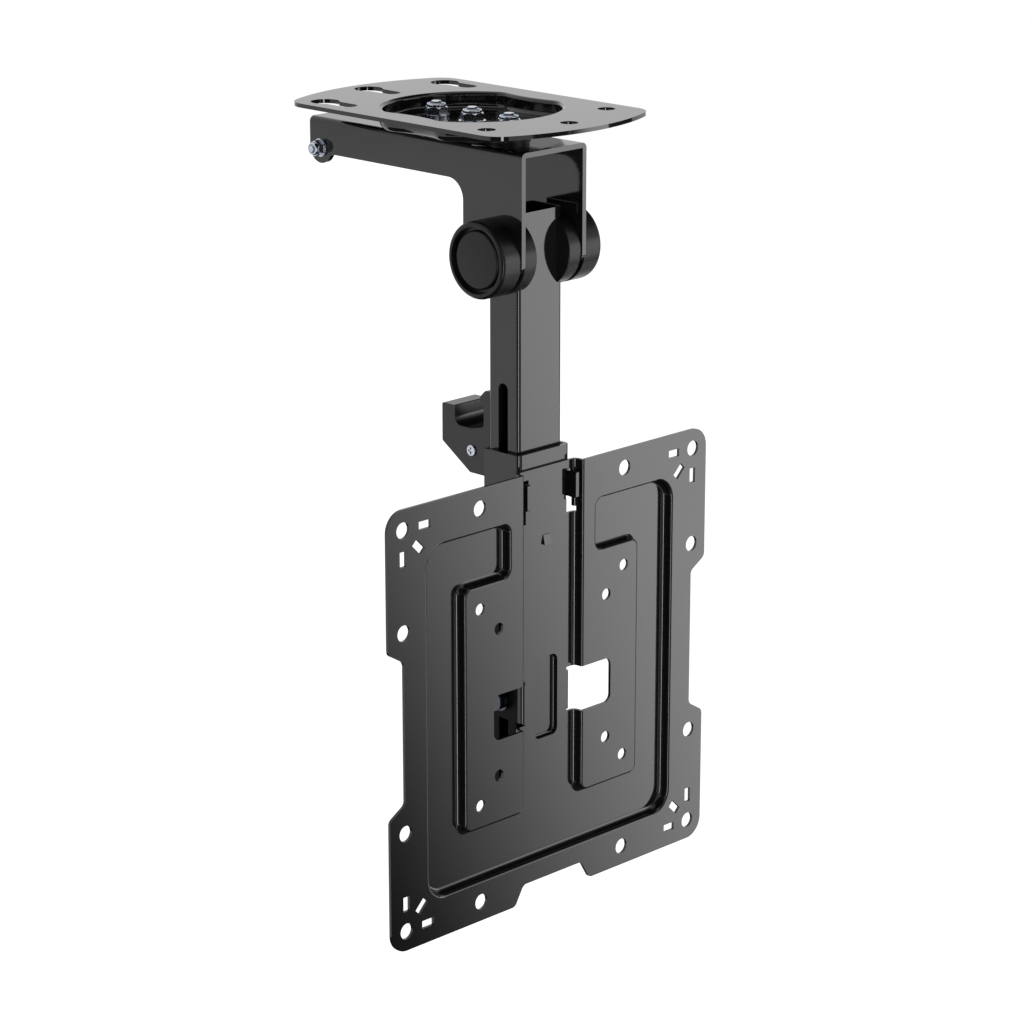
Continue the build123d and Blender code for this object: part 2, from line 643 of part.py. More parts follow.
def make_post_plug():
    flange = fillet(Rectangle(POST_WIDTH, POST_DEPTH).vertices(), POST_CORNER_RADIUS)
    fit = POST_WALL + PLUG_FIT
    body = Rectangle(POST_WIDTH - 2 * fit, POST_DEPTH - 2 * fit)
    body = fillet(body.vertices(), POST_CORNER_RADIUS - POST_WALL)
    core = Rectangle(POST_WIDTH - 2 * fit - 2 * PLUG_FLANGE, POST_DEPTH - 2 * fit - 2 * PLUG_FLANGE)
    plug = Pos(0, HINGE_Y, post_end - PLUG_FLANGE) * extrude(flange, amount=PLUG_FLANGE)
    plug += Pos(0, HINGE_Y, post_end) * extrude(body - core, amount=PLUG_DEPTH)
    low = edges_at(plug, "Z", post_end - PLUG_FLANGE)
    return fillet(low, PLUG_EDGE_RADIUS)


def screen_outline():
    """Square plate with a notch at each side and one at the bottom."""
    edge = screen_half
    side_in = edge - SIDE_NOTCH_DEPTH
    low_in = BOTTOM_NOTCH_DEPTH - edge
    wide = BOTTOM_NOTCH_HALF + BOTTOM_NOTCH_SLOPE
    tall = SIDE_NOTCH_HALF + SIDE_NOTCH_SLOPE
    right = [
        (BOTTOM_NOTCH_HALF, low_in, NOTCH_FILLET),
        (wide, -edge, NOTCH_FILLET),
        (edge, -edge, SCREEN_CORNER_RADIUS),
        (edge, -tall, NOTCH_FILLET),
        (side_in, -SIDE_NOTCH_HALF, NOTCH_FILLET),
        (side_in, SIDE_NOTCH_HALF, NOTCH_FILLET),
        (edge, tall, NOTCH_FILLET),
        (edge, edge, SCREEN_CORNER_RADIUS),
    ]
    return rounded(right + [(-x, z, radius) for x, z, radius in reversed(right)])


def recess_outline():
    """Pressed-back area round the two islands, open at the top between them."""
    beyond = screen_half + SCREEN_MARGIN
    corner = ISLAND_CORNER_RADIUS
    right = [
        (RECESS_HALF, RECESS_BOTTOM, RECESS_CORNER_RADIUS),
        (RECESS_HALF, RECESS_TOP, RECESS_CORNER_RADIUS),
        (ISLAND_NECK, RECESS_TOP, corner),
        (ISLAND_NECK, ISLAND_HALF, corner),
        (ISLAND_OUTER, ISLAND_HALF, corner),
        (ISLAND_OUTER, -ISLAND_HALF, corner),
        (ISLAND_INNER, -ISLAND_HALF, corner),
        (ISLAND_INNER, beyond, 0),
    ]
    return rounded(right + [(-x, z, radius) for x, z, radius in reversed(right)])


def pocket_outline():
    middle = (POCKET_TOP + POCKET_BOTTOM) / 2
    height = POCKET_TOP - POCKET_BOTTOM
    return Pos(0, middle) * RectangleRounded(2 * POCKET_HALF, height, POCKET_CORNER_RADIUS)


def screen_holes():
    """Round holes for the screen's grid, and the short slots in the corners."""
    holes = []
    for sx in (-1, 1):
        for sz in (-1, 1):
            for x, z in ((VESA_LARGE, VESA_LARGE), (VESA_SMALL, VESA_LARGE), (VESA_LARGE, VESA_SMALL)):
                holes.append(Pos(sx * x, sz * z) * Circle(VESA_LARGE_RADIUS))
            for x in (VESA_SMALL, VESA_TINY):
                holes.append(Pos(sx * x, sz * x) * Circle(VESA_SMALL_RADIUS))
            near = VESA_LARGE - CORNER_SLOT_OFFSET
            slot = (CORNER_SLOT_LENGTH, CORNER_SLOT_WIDTH)
            holes.append(Pos(sx * near, sz * VESA_LARGE) * Rectangle(*slot))
            holes.append(Pos(sx * VESA_LARGE, sz * near) * Rectangle(*slot, rotation=90))
            diagonal = 45 * sx * sz
            corner = Pos(sx * CORNER_SLOT_DIAGONAL, sz * CORNER_SLOT_DIAGONAL)
            holes.append(corner * Rectangle(*slot, rotation=diagonal))
    return holes


def window_outline(side):
    """Window whose sheet is bent back as a clamp flange, with relief cuts at the bend."""
    inner = flange_outer - FLANGE_BEND_RADIUS - RELIEF_DEPTH
    window = rounded([
        (inner, WINDOW_BOTTOM, 0),
        (WINDOW_OUTER, WINDOW_BOTTOM, WINDOW_CORNER_RADIUS),
        (WINDOW_OUTER, WINDOW_TOP, WINDOW_CORNER_RADIUS),
        (inner, WINDOW_TOP, 0),
    ])
    return window if side > 0 else mirror(window, about=Plane.YZ)


def make_clamp_flange():
    """Right flange, bent back along the post's side."""
    root = flange_outer - FLANGE_BEND_RADIUS - RELIEF_DEPTH
    low = screen_z + FLANGE_BOTTOM
    high = screen_z + FLANGE_TOP
    back = strip_front + FLANGE_DEPTH
    flange = block(root, flange_outer, strip_front, back, low, high)
    bend = [e for e in edges_at(flange, "X", flange_outer) if abs(e.center().Y - strip_front) < 1e-3]
    flange = fillet(bend, FLANGE_BEND_RADIUS)
    inside = strip_front + SCREEN_SHEET
    flange -= block(root - SPARE, flange_inner, inside, back + SPARE, low - SPARE, high + SPARE)
    hole = CLAMP_THREAD / 2 + BOLT_HOLE_CLEARANCE
    return flange - rod_x(root, flange_outer + SPARE, HINGE_Y, clamp_z, hole)


def tab_slot_cutters():
    """Cuts on the right for the carrier's tab: through the strip's floor, and at the foot into the bend."""
    front = screen_front + TAB_SLOT_WALL_LEFT
    back = carrier_front + SPARE
    tab_side = CARRIER_HALF_WIDTH + TAB_SLOT_SIDE_GAP
    beyond = ISLAND_INNER + SCREEN_SHEET + SPARE
    top = screen_top - TAB_SLOT_TOP
    step = screen_top - TAB_SLOT_STEP
    bottom = screen_top - TAB_SLOT_BOTTOM
    return [
        block(TAB_SLOT_INNER, tab_side, screen_front, back, step, top),
        block(TAB_SLOT_INNER_LOW, TAB_SLOT_FOOT_INNER, front, back, bottom, step),
        block(TAB_SLOT_INNER_LOW, beyond, front, back, bottom, screen_top - TAB_SLOT_FOOT_TOP),
    ]


def make_bump():
    """Small square stop pressed forward out of the strip, its foot further than its top."""
    half = BUMP_SIZE / 2
    root = strip_front + SCREEN_SHEET / 2
    low = screen_z + BUMP_CENTRE - half
    high = screen_z + BUMP_CENTRE + half
    side = Polygon((root, low), (strip_front - BUMP_FOOT_HEIGHT, low), (strip_front - BUMP_TOP_HEIGHT, high),
                   (root, high), align=None)
    return across(side, -half, half)


def on_recess_rim(edge):
    """True for the edges round the recess, and false for the plate's own outline."""
    box = edge.bounding_box()
    inside = max(-box.min.X, box.max.X) < RECESS_HALF + SPARE
    above = box.min.Z > screen_z + RECESS_BOTTOM - SPARE
    return inside and above and edge.center().Z < screen_top - SEAM_OVERLAP


def make_screen_plate():
    back = screen_front + SCREEN_SHEET
    recess = recess_outline()
    cavity = from_middle(screen_front, recess, RECESS_DEPTH)
    cavity = fillet(edges_at(cavity, "Y", strip_front), RECESS_FLOOR_RADIUS)
    shell = from_middle(back, offset(recess, SCREEN_SHEET), RECESS_DEPTH)
    shell = fillet(edges_at(shell, "Y", back + RECESS_DEPTH), RECESS_FLOOR_RADIUS + SCREEN_SHEET)
    shell &= block(-screen_half, screen_half, screen_front, shell.bounding_box().max.Y + SPARE,
                   screen_z - screen_half, screen_top)
    plate = from_middle(screen_front, screen_outline(), SCREEN_SHEET) + shell - cavity
    plate = fillet(edges_at(plate, "Y", screen_front, on_recess_rim), RECESS_RIM_RADIUS)
    pocket = from_middle(strip_front, pocket_outline(), POCKET_DEPTH)
    pocket = fillet(edges_at(pocket, "Y", strip_front + POCKET_DEPTH), RECESS_FLOOR_RADIUS / 2)
    boss_front = carrier_front - SEAM_OVERLAP
    boss = from_middle(boss_front, offset(pocket_outline(), SCREEN_SHEET), POCKET_DEPTH + SEAM_OVERLAP)
    boss_back = edges_at(boss, "Y", carrier_front + POCKET_DEPTH)
    boss = fillet(boss_back, RECESS_FLOOR_RADIUS / 2 + SCREEN_SHEET / 2)
    plate = plate + boss - pocket + make_bump()
    depth = carrier_front + SPARE - screen_front
    for side in (-1, 1):
        plate -= from_middle(screen_front - SPARE, window_outline(side), depth + SPARE)
    for cutter in tab_slot_cutters():
        for cut in pair(cutter):
            plate -= cut
    for hole in screen_holes():
        plate -= from_middle(screen_front - SPARE, hole, depth + SPARE)
    for flange in pair(make_clamp_flange()):
        plate += flange
    return plate


def make_carrier():
    low = carrier_low
    high = carrier_high
    wide = CARRIER_HALF_WIDTH
    inside = carrier_front + CARRIER_SHEET
    solid = block(-wide, wide, carrier_front, carrier_back, low, high)
    bends = [e for e in edges_at(solid, "Y", carrier_front) if abs(abs(e.center().X) - wide) < 1e-4]
    solid = fillet(bends, CARRIER_BEND_RADIUS)
    room = block(-carrier_inner, carrier_inner, inside, carrier_back + SPARE, low - SPARE, high + SPARE)
    inner = [e for e in edges_at(room, "Y", inside) if abs(abs(e.center().X) - carrier_inner) < 1e-4]
    carrier = solid - fillet(inner, CARRIER_BEND_RADIUS - CARRIER_SHEET)
    carrier = fillet([e for e in carrier.edges() if on_rear_corner(e, high)], CARRIER_REAR_FILLET)
    gap_back = carrier_front + CARRIER_BEND_RADIUS
    tab_low = screen_top - TAB_BOTTOM_BELOW
    tab_high = screen_top - TAB_TOP_BELOW
    tab = across(rounded([
        (tab_front, tab_low, TAB_FILLET),
        (tab_front, tab_high, TAB_FILLET),
        (gap_back, tab_high, 0),
        (gap_back, tab_low, 0),
    ]), carrier_inner, wide)
    corner = block(CARRIER_NOTCH_INNER, wide + SPARE, carrier_front - SPARE, gap_back, low - SPARE,
                   screen_top - TAB_SLOT_TOP)
    for cut in pair(corner):
        carrier -= cut
    for piece in pair(tab):
        carrier += piece
    return carrier


def on_rear_corner(edge, high):
    """True for the short edges across the sheet at the carrier's top rear corners."""
    spot = edge.center()
    across_x = abs(edge.length - CARRIER_SHEET) < 1e-3
    return across_x and abs(spot.Y - carrier_back) < 1e-3 and abs(spot.Z - high) < 1e-3


def make_carrier_strap():
    """Plate behind the post, welded between the carrier's sides."""
    return block(-carrier_inner, carrier_inner, strap_front, strap_back,
                 carrier_low + STRAP_INSET, carrier_high - STRAP_INSET)


def make_glide_liner():
    """Plastic channel between the carrier and the post."""
    low = carrier_low + LINER_END_MARGIN
    high = carrier_high - LINER_END_MARGIN
    front = carrier_front + CARRIER_SHEET
    outer = carrier_inner
    back = carrier_back - LINER_END_MARGIN
    corner = CARRIER_BEND_RADIUS - CARRIER_SHEET
    liner = block(-outer, outer, front, back, low, high)
    bends = [e for e in edges_at(liner, "Y", front) if abs(abs(e.center().X) - outer) < 1e-4]
    liner = fillet(bends, corner)
    inside = front + LINER_FRONT_THICK
    room = block(-liner_inner, liner_inner, inside, back + SPARE, low - SPARE, high + SPARE)
    return liner - room


def latch_profile():
    """Hook in Y and Z from the post's back face and the screen plate's top edge."""
    step = LATCH_THUMB_STEP
    return [
        (LATCH_FRONT, LATCH_THUMB_TOP, step / 2),
        (LATCH_THUMB_BACK - LATCH_THUMB_CORNER, LATCH_THUMB_TOP - step / 3, step),
        (LATCH_THUMB_BACK, LATCH_THUMB_TOP - LATCH_THUMB_CORNER - step / 3, step),
        (LATCH_THUMB_BACK, LATCH_THUMB_UNDER, step / 2),
        (LATCH_NOTCH_FRONT, LATCH_THUMB_UNDER - step, step / 2),
        (LATCH_NOTCH_FRONT, LATCH_NOTCH_FLOOR + LATCH_NOTCH_RISE, step),
        (LATCH_NOTCH_FRONT + LATCH_NOTCH_LEVEL, LATCH_NOTCH_FLOOR, step),
        (LATCH_NOTCH_BACK, LATCH_NOTCH_FLOOR, LATCH_NOTCH_CORNER),
        (LATCH_NOTCH_BACK, LATCH_TOP, LATCH_EDGE_RADIUS / 2),
        (LATCH_BACK, LATCH_TOP, LATCH_EDGE_RADIUS),
        (LATCH_BACK, LATCH_LOWER_BACK, LATCH_EDGE_RADIUS),
        (LATCH_LOWER_FRONT, LATCH_BOTTOM, LATCH_EDGE_RADIUS),
        (LATCH_HEEL, LATCH_BOTTOM, LATCH_EDGE_RADIUS),
        (LATCH_HEEL, LATCH_HEEL_TOP, LATCH_EDGE_RADIUS),
        (LATCH_FRONT, LATCH_HEEL_TOP + LATCH_HEEL_SLOPE, LATCH_EDGE_RADIUS),
    ]


def at_latch(outline):
    """Moves a sketch of the latch to its place in Y and Z."""
    return Pos(post_back, screen_top) * outline


def make_latch_hook():
    hook = across(at_latch(rounded(latch_profile())), -LATCH_HALF_WIDTH, LATCH_HALF_WIDTH)
    far = -LATCH_BACK
    inside = Polygon(
        (far, LATCH_NOTCH_FLOOR),
        (far, LATCH_BOTTOM + far),
        (LATCH_LOWER_FRONT, LATCH_BOTTOM + far),
        (LATCH_LOWER_FRONT, LATCH_BOTTOM),
        (LATCH_BACK, LATCH_LOWER_BACK),
        (LATCH_BACK, LATCH_NOTCH_FLOOR),
        align=None,
    )
    inside = offset(inside, -LATCH_WEB, kind=Kind.INTERSECTION)
    half = LATCH_HALF_WIDTH - LATCH_SIDE
    hook -= across(at_latch(inside), -half, half)
    y, z = latch_pin_y, latch_pin_z
    wide = LATCH_HALF_WIDTH + SPARE
    return hook - rod_x(-wide, wide, y, z, LATCH_PIN_DIAMETER / 2 + RUNNING_CLEARANCE)


def make_latch_bracket():
    """Folded bracket on the strap, with an ear inside each side of the hook."""
    half = LATCH_HALF_WIDTH - LATCH_SIDE - EAR_GAP
    y, z = latch_pin_y, latch_pin_z
    low, high = z - EAR_RADIUS - EAR_ROOT_MARGIN, z + EAR_RADIUS
    base = block(-half, half, strap_back, strap_back + EAR_SHEET, low, high)
    arm = Polygon((strap_back, low), (y, z - EAR_RADIUS), (y, z + EAR_RADIUS), (strap_back, high), align=None)
    ear = across(arm + Pos(y, z) * Circle(EAR_RADIUS), half - EAR_SHEET, half)
    ear -= rod_x(0, half + SPARE, y, z, LATCH_PIN_DIAMETER / 2 + RUNNING_CLEARANCE)
    bracket = base
    for piece in pair(ear):
        bracket += piece
    return bracket


def make_latch_pin():
    """Cross-head pin through the hook and the ears, with a head at each side."""
    y, z = latch_pin_y, latch_pin_z
    face = LATCH_HALF_WIDTH + LATCH_PIN_HEAD_HEIGHT
    pin = rod_x(-LATCH_HALF_WIDTH, LATCH_HALF_WIDTH, y, z, LATCH_PIN_DIAMETER / 2)
    for head in pair(rod_x(LATCH_HALF_WIDTH, face, y, z, LATCH_PIN_HEAD / 2)):
        pin += head
    pin = fillet(circles_at(pin, face) + circles_at(pin, -face), LATCH_PIN_HEAD_HEIGHT / 2)
    for dy, dz in ((CROSS_REACH, CROSS_HALF_WIDTH), (CROSS_HALF_WIDTH, CROSS_REACH)):
        for cut in pair(block(face - CROSS_DEPTH, face + SPARE, y - dy, y + dy, z - dz, z + dz)):
            pin -= cut
    return pin


def make_latch_spring():
    """Torsion spring round the pin: one leg on the bracket's base, one under the hook's web."""
    y, z = latch_pin_y, latch_pin_z
    length = LATCH_SPRING_PITCH * LATCH_SPRING_TURNS
    coil = Helix(LATCH_SPRING_PITCH, length, LATCH_SPRING_RADIUS)
    low_leg = y - strap_back - EAR_SHEET - RUNNING_CLEARANCE
    top_leg = LATCH_NOTCH_FLOOR - LATCH_WEB - LATCH_PIN_Z - RUNNING_CLEARANCE
    low_line = Line(coil @ 0 - coil % 0 * low_leg, coil @ 0)
    top_line = Line(coil @ 1, coil @ 1 + coil % 1 * top_leg)
    path = Wire([low_line.edges()[0], coil.edges()[0], top_line.edges()[0]])
    start = Plane(origin=low_line @ 0, z_dir=low_line % 0)
    spring = sweep(start * Circle(LATCH_SPRING_WIRE / 2), path=path)
    return Pos(-length / 2, y, z) * Rot(0, 90, 0) * spring


def make_nodes():
    nodes = {
        "ceiling_plate": [make_ceiling_plate()],
        "channel_bracket": [make_channel_bracket()],
        "friction_pad": [make_friction_pad()],
    }
    nodes.update(make_swivel_fasteners())
    nodes.update(make_hinge_hardware())
    cap = make_hub_cap()
    cover = make_cap_cover()
    disc = make_hinge_disc()
    nodes["right_hub_cap"] = [cap]
    nodes["left_hub_cap"] = [mirrored(cap)]
    nodes["right_cap_cover"] = [cover]
    nodes["left_cap_cover"] = [mirrored(cover)]
    nodes["right_hinge_disc"] = [disc]
    nodes["left_hinge_disc"] = [mirrored(disc)]
    nodes["hinge_sleeve"] = [make_hinge_sleeve()]
    nodes["post_tube"] = [make_post()]
    nodes["post_plug"] = [make_post_plug()]
    bolt, washers, nut = make_cross_bolt(
        lug_y, lug_z, CHANNEL_HALF_WIDTH, STOW_THREAD, STOW_FLATS, STOW_WASHER_DIAMETER, STOW_WASHER_THICK,
        STOW_HEAD_HEIGHT, STOW_NUT_HEX, STOW_NUT_COLLAR, STOW_TIP, True)
    nodes["stow_bolt"] = [bolt]
    nodes["stow_washers"] = washers
    nodes["stow_nut"] = [nut]
    bolt, washers, nut = make_cross_bolt(
        HINGE_Y, clamp_z, flange_outer, CLAMP_THREAD, CLAMP_FLATS, CLAMP_WASHER_DIAMETER, CLAMP_WASHER_THICK,
        CLAMP_HEAD_HEIGHT, CLAMP_NUT_HEX, CLAMP_NUT_COLLAR, CLAMP_TIP, False)
    nodes["clamp_bolt"] = [bolt]
    nodes["clamp_washers"] = washers
    nodes["clamp_nut"] = [nut]
    nodes["screen_plate"] = [make_screen_plate()]
    nodes["carrier"] = [make_carrier()]
    nodes["carrier_strap"] = [make_carrier_strap()]
    nodes["glide_liner"] = [make_glide_liner()]
    nodes["latch_bracket"] = [make_latch_bracket()]
    nodes["latch_pin"] = [make_latch_pin()]
    nodes["latch_spring"] = [make_latch_spring()]
    nodes["latch_hook"] = [make_latch_hook()]
    return nodes


os.makedirs("parts", exist_ok=True)
for name, solids in make_nodes().items():
    whole = Compound(children=solids) if len(solids) > 1 else solids[0]
    export_step(whole, "parts/" + name + ".step")
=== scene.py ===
"""Looks of a folding ceiling mount for a flat screen: finishes, fasteners, lights and camera."""

import math

import bpy
from mathutils import Matrix, Vector


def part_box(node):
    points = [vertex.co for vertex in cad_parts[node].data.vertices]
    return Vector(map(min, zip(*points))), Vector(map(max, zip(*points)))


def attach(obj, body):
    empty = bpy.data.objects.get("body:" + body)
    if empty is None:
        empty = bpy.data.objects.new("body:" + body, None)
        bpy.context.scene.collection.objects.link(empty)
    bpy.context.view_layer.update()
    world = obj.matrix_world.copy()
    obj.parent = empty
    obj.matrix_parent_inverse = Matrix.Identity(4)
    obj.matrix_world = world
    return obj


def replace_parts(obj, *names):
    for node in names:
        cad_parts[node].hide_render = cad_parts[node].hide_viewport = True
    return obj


bl_info = {
    "name": "Ceiling mount looks",
    "version": (1, 0, 0),
    "blender": (4, 5, 0),
    "location": "3D View > Sidebar > Mount",
    "description": "Finishes, fasteners, lights and camera for a folding ceiling mount",
    "category": "Object",
}

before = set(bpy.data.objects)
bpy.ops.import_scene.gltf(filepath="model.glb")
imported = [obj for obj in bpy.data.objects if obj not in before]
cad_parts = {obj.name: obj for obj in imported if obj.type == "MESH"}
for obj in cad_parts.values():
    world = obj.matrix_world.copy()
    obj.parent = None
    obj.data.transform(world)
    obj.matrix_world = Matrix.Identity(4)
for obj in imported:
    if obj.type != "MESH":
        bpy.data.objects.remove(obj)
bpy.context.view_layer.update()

MM = 0.001
THREAD = 6 * MM
THIN_THREAD = 4 * MM
STUD_HEAD_HEIGHT = 1.8 * MM
CLAMP_HEAD_HEIGHT = 4.0 * MM
STOW_HEAD_HEIGHT = 2.8 * MM
# how far a shank starts inside its head, and a collar or thread inside what it stands on
HEAD_OVERLAP = 0.1 * MM
END_OVERLAP = 0.2 * MM
# how near a point has to be to count as on a circle, and as level with it
NEAR = 0.01 * MM
LEVEL = 0.001 * MM

COATED_SHEET = ("ceiling_plate", "channel_bracket", "carrier", "carrier_strap", "latch_bracket")
HUBS = ("left_hub_cap", "right_hub_cap", "left_cap_cover", "right_cap_cover",
        "left_hinge_disc", "right_hinge_disc")
MOULDED = ("post_plug", "latch_hook")
GLIDES = ("friction_pad", "glide_liner")
PLATED = ("guide_washers", "pivot_washer", "stow_washers", "hinge_washer", "hinge_bolt", "hinge_nut",
          "hinge_sleeve", "latch_pin")
SPRINGS = ("latch_spring", "disc_springs")


class CoatSettings(bpy.types.PropertyGroup):
    """Powder coat on the sheet metal and the post."""
    color: bpy.props.FloatVectorProperty(
        name="Colour", description="Colour of the powder coat", subtype="COLOR", size=3,
        default=(0.006, 0.006, 0.0064), min=0, max=1)
    roughness: bpy.props.FloatProperty(
        name="Roughness", description="Middle roughness of the coat", default=0.07, min=0, max=1)
    # painted shade: how rough and how dark the coat gets where a part sits in the shadow behind the screen
    # plate
    painted_shade_roughness: bpy.props.FloatProperty(
        name="Bare roughness", description="Roughness added where the coat didn't reach",
        default=0.4, min=0, max=1)
    painted_shade_share: bpy.props.FloatProperty(
        name="Bare oxide", description="How bare the steel is where the coat didn't reach",
        default=1.0, min=0, max=1)
    peel: bpy.props.FloatProperty(
        name="Orange peel", description="Width of the coat's slow waves", default=1.6 * MM, unit="LENGTH")
    speck: bpy.props.FloatProperty(
        name="Speck", description="Width of the coat's fine grains", default=0.25 * MM, unit="LENGTH")
    depth: bpy.props.FloatProperty(
        name="Depth", description="Height of the coat's waves",
        default=0.004 * MM, unit="LENGTH", precision=6)


class PlasticSettings(bpy.types.PropertyGroup):
    """Moulded black plastic and the paler glides."""
    color: bpy.props.FloatVectorProperty(
        name="Colour", description="Colour of the caps and the hook", subtype="COLOR", size=3,
        default=(0.005, 0.005, 0.005), min=0, max=1)
    glide_color: bpy.props.FloatVectorProperty(
        name="Glide colour", description="Colour of the sliding pieces", subtype="COLOR", size=3,
        default=(0.012, 0.012, 0.012), min=0, max=1)
    roughness: bpy.props.FloatProperty(
        name="Roughness", description="Middle roughness of the plastic", default=0.24, min=0, max=1)
    hub_sheen: bpy.props.FloatProperty(
        name="Hub sheen", description="Strength of the reflections on the hub caps",
        default=0.24, min=0, max=1)
    hook_sheen: bpy.props.FloatProperty(
        name="Hook sheen", description="Strength of the reflections on the hook", default=0.4, min=0, max=1)
    grain: bpy.props.FloatProperty(
        name="Grain", description="Width of the mould's grain", default=0.35 * MM, unit="LENGTH")
    depth: bpy.props.FloatProperty(
        name="Depth", description="Height of the mould's grain",
        default=0.006 * MM, unit="LENGTH", precision=6)


class MetalSettings(bpy.types.PropertyGroup):
    """Bright plating of the fasteners and plain spring steel."""
    zinc: bpy.props.FloatVectorProperty(
        name="Zinc", description="Colour of the plating", subtype="COLOR", size=3,
        default=(0.50, 0.52, 0.56), min=0, max=1)
    bloom: bpy.props.FloatVectorProperty(
        name="Bloom", description="Colour of the plating's passivated patches", subtype="COLOR", size=3,
        default=(0.40, 0.44, 0.52), min=0, max=1)
    spring: bpy.props.FloatVectorProperty(
        name="Spring steel", description="Colour of the springs", subtype="COLOR", size=3,
        default=(0.42, 0.42, 0.43), min=0, max=1)
    roughness: bpy.props.FloatProperty(
        name="Roughness", description="Middle roughness of the plating", default=0.16, min=0, max=1)
    # painted shade: how dark the copy of the zinc is on the clamp's fasteners, which sit in the shadowed
    # hollow behind the screen plate
    black: bpy.props.FloatProperty(
        name="Black plating", description="Brightness of the clamp's plating beside the bright zinc",
        default=0.16, min=0, max=1)
    insert: bpy.props.FloatVectorProperty(
        name="Nut insert", description="Colour of the nylon in the lock nuts", subtype="COLOR", size=3,
        default=(0.62, 0.70, 0.80), min=0, max=1)


class FastenerSettings(bpy.types.PropertyGroup):
    """Sizes of the screws and lock nuts that the CAD leaves plain."""
    coarse_pitch: bpy.props.FloatProperty(
        name="Pitch of 6 mm threads", description="Rise of one turn",
        default=1.0 * MM, unit="LENGTH", precision=5)
    fine_pitch: bpy.props.FloatProperty(
        name="Pitch of 4 mm threads", description="Rise of one turn",
        default=0.7 * MM, unit="LENGTH", precision=5)
    hex_share: bpy.props.FloatProperty(
        name="Hexagon share", description="Part of a lock nut's height that is hexagonal",
        default=0.69, min=0.4, max=0.9)
    lip: bpy.props.FloatProperty(
        name="Lip", description="Wall left round a lock nut's insert",
        default=0.7 * MM, unit="LENGTH", precision=5)
    threaded_share: bpy.props.FloatProperty(
        name="Threaded share", description="Part of a cross bolt's shank that is threaded",
        default=0.45, min=0, max=1)


class StageSettings(bpy.types.PropertyGroup):
    """Floor, lamps and camera."""
    floor_height: bpy.props.FloatProperty(
        name="Floor", description="Height of the floor below the ceiling", default=-1.3, unit="LENGTH")
    fill: bpy.props.FloatProperty(
        name="Fill", description="Brightness of the room's light on the object", default=0.45, min=0)
    lens: bpy.props.FloatProperty(
        name="Lens", description="Focal length of the camera in millimetres", default=115.33)
    place: bpy.props.FloatVectorProperty(
        name="Camera", description="Place of the camera", size=3, subtype="TRANSLATION",
        default=(-1.09735, -1.1168, 0.26523))
    tilt: bpy.props.FloatProperty(
        name="Tilt", description="Camera's angle from straight down",
        default=math.radians(73.32), unit="ROTATION")
    turn: bpy.props.FloatProperty(
        name="Turn", description="Camera's angle round the vertical",
        default=math.radians(-45.26), unit="ROTATION")


class Link:
    """A shader socket that adds Math nodes when it is used in an expression."""

    def __init__(self, shader, socket):
        self.shader = shader
        self.socket = socket

    def math(self, operation, first, second):
        made = self.shader.node("ShaderNodeMath", {"operation": operation}, {0: first, 1: second})
        return Link(self.shader, made.outputs[0])

    def __add__(self, other):
        return self.math("ADD", self, other)

    def __radd__(self, other):
        return self.math("ADD", other, self)

    def __sub__(self, other):
        return self.math("SUBTRACT", self, other)

    def __rsub__(self, other):
        return self.math("SUBTRACT", other, self)

    def __mul__(self, other):
        return self.math("MULTIPLY", self, other)

    def __rmul__(self, other):
        return self.math("MULTIPLY", other, self)


class Shader:
    """A material, or the world, and its node tree."""

    def __init__(self, owner):
        owner.use_nodes = True
        self.owner = owner
        self.tree = owner.node_tree
        self.tree.nodes.clear()

    def node(self, kind, settings=None, inputs=None):
        """Adds a node, sets it up, then fills or links its sockets."""
        made = self.tree.nodes.new(kind)
        for name, value in (settings or {}).items():
            setattr(made, name, value)
        for name, value in (inputs or {}).items():
            if isinstance(value, Link):
                self.tree.links.new(value.socket, made.inputs[name])
            else:
                made.inputs[name].default_value = value
        return made

    def out(self, node, name=0):
        return Link(self, node.outputs[name])

    def places(self):
        """Object coordinates, in metres."""
        return self.out(self.node("ShaderNodeTexCoord"), "Object")

    def noise(self, places, width, detail=2.0, rough=0.5):
        """Noise whose lumps are about this wide."""
        return self.out(self.node(
            "ShaderNodeTexNoise", None,
            {"Vector": places, "Scale": 1 / width, "Detail": detail, "Roughness": rough}), "Fac")

    def blend(self, share, first, second):
        """One color turning into another."""
        return self.out(self.node(
            "ShaderNodeMix", {"data_type": "RGBA"}, {0: share, 6: (*first, 1), 7: (*second, 1)}), 2)

    def clamped(self, value, low, high):
        """Maps low..high to 0..1 with soft ends."""
        return self.out(self.node(
            "ShaderNodeMapRange", {"interpolation_type": "SMOOTHSTEP"},
            {"Value": value, "From Min": low, "From Max": high}), "Result")

    def bump(self, height, depth):
        """Relief as deep as given where the height is 1."""
        return self.out(self.node(
            "ShaderNodeBump", None, {"Height": height, "Distance": depth, "Strength": 1.0}))

    def seen(self):
        """1 for what the camera, a reflection or glass shows, 0 for the light on the object."""
        rays = self.node("ShaderNodeLightPath")
        total = self.out(rays, "Is Camera Ray") + self.out(rays, "Is Glossy Ray")
        return self.clamped(total + self.out(rays, "Is Transmission Ray"), 0, 1)

    def finish(self, **inputs):
        """Ends the tree with a Principled shader."""
        named = {}
        for name, value in inputs.items():
            named[name.replace("_", " ").title().replace("Ior", "IOR")] = value
        surface = self.node("ShaderNodeBsdfPrincipled", None, named)
        self.node("ShaderNodeOutputMaterial", None, {"Surface": self.out(surface)})
        return self.owner


def scaled(color, factor):
    """The same color, lighter or darker."""
    return tuple(min(1.0, factor * channel) for channel in color)


def swing(noise, spread):
    """Noise as a change of this spread round zero."""
    return (noise - 0.5) * spread


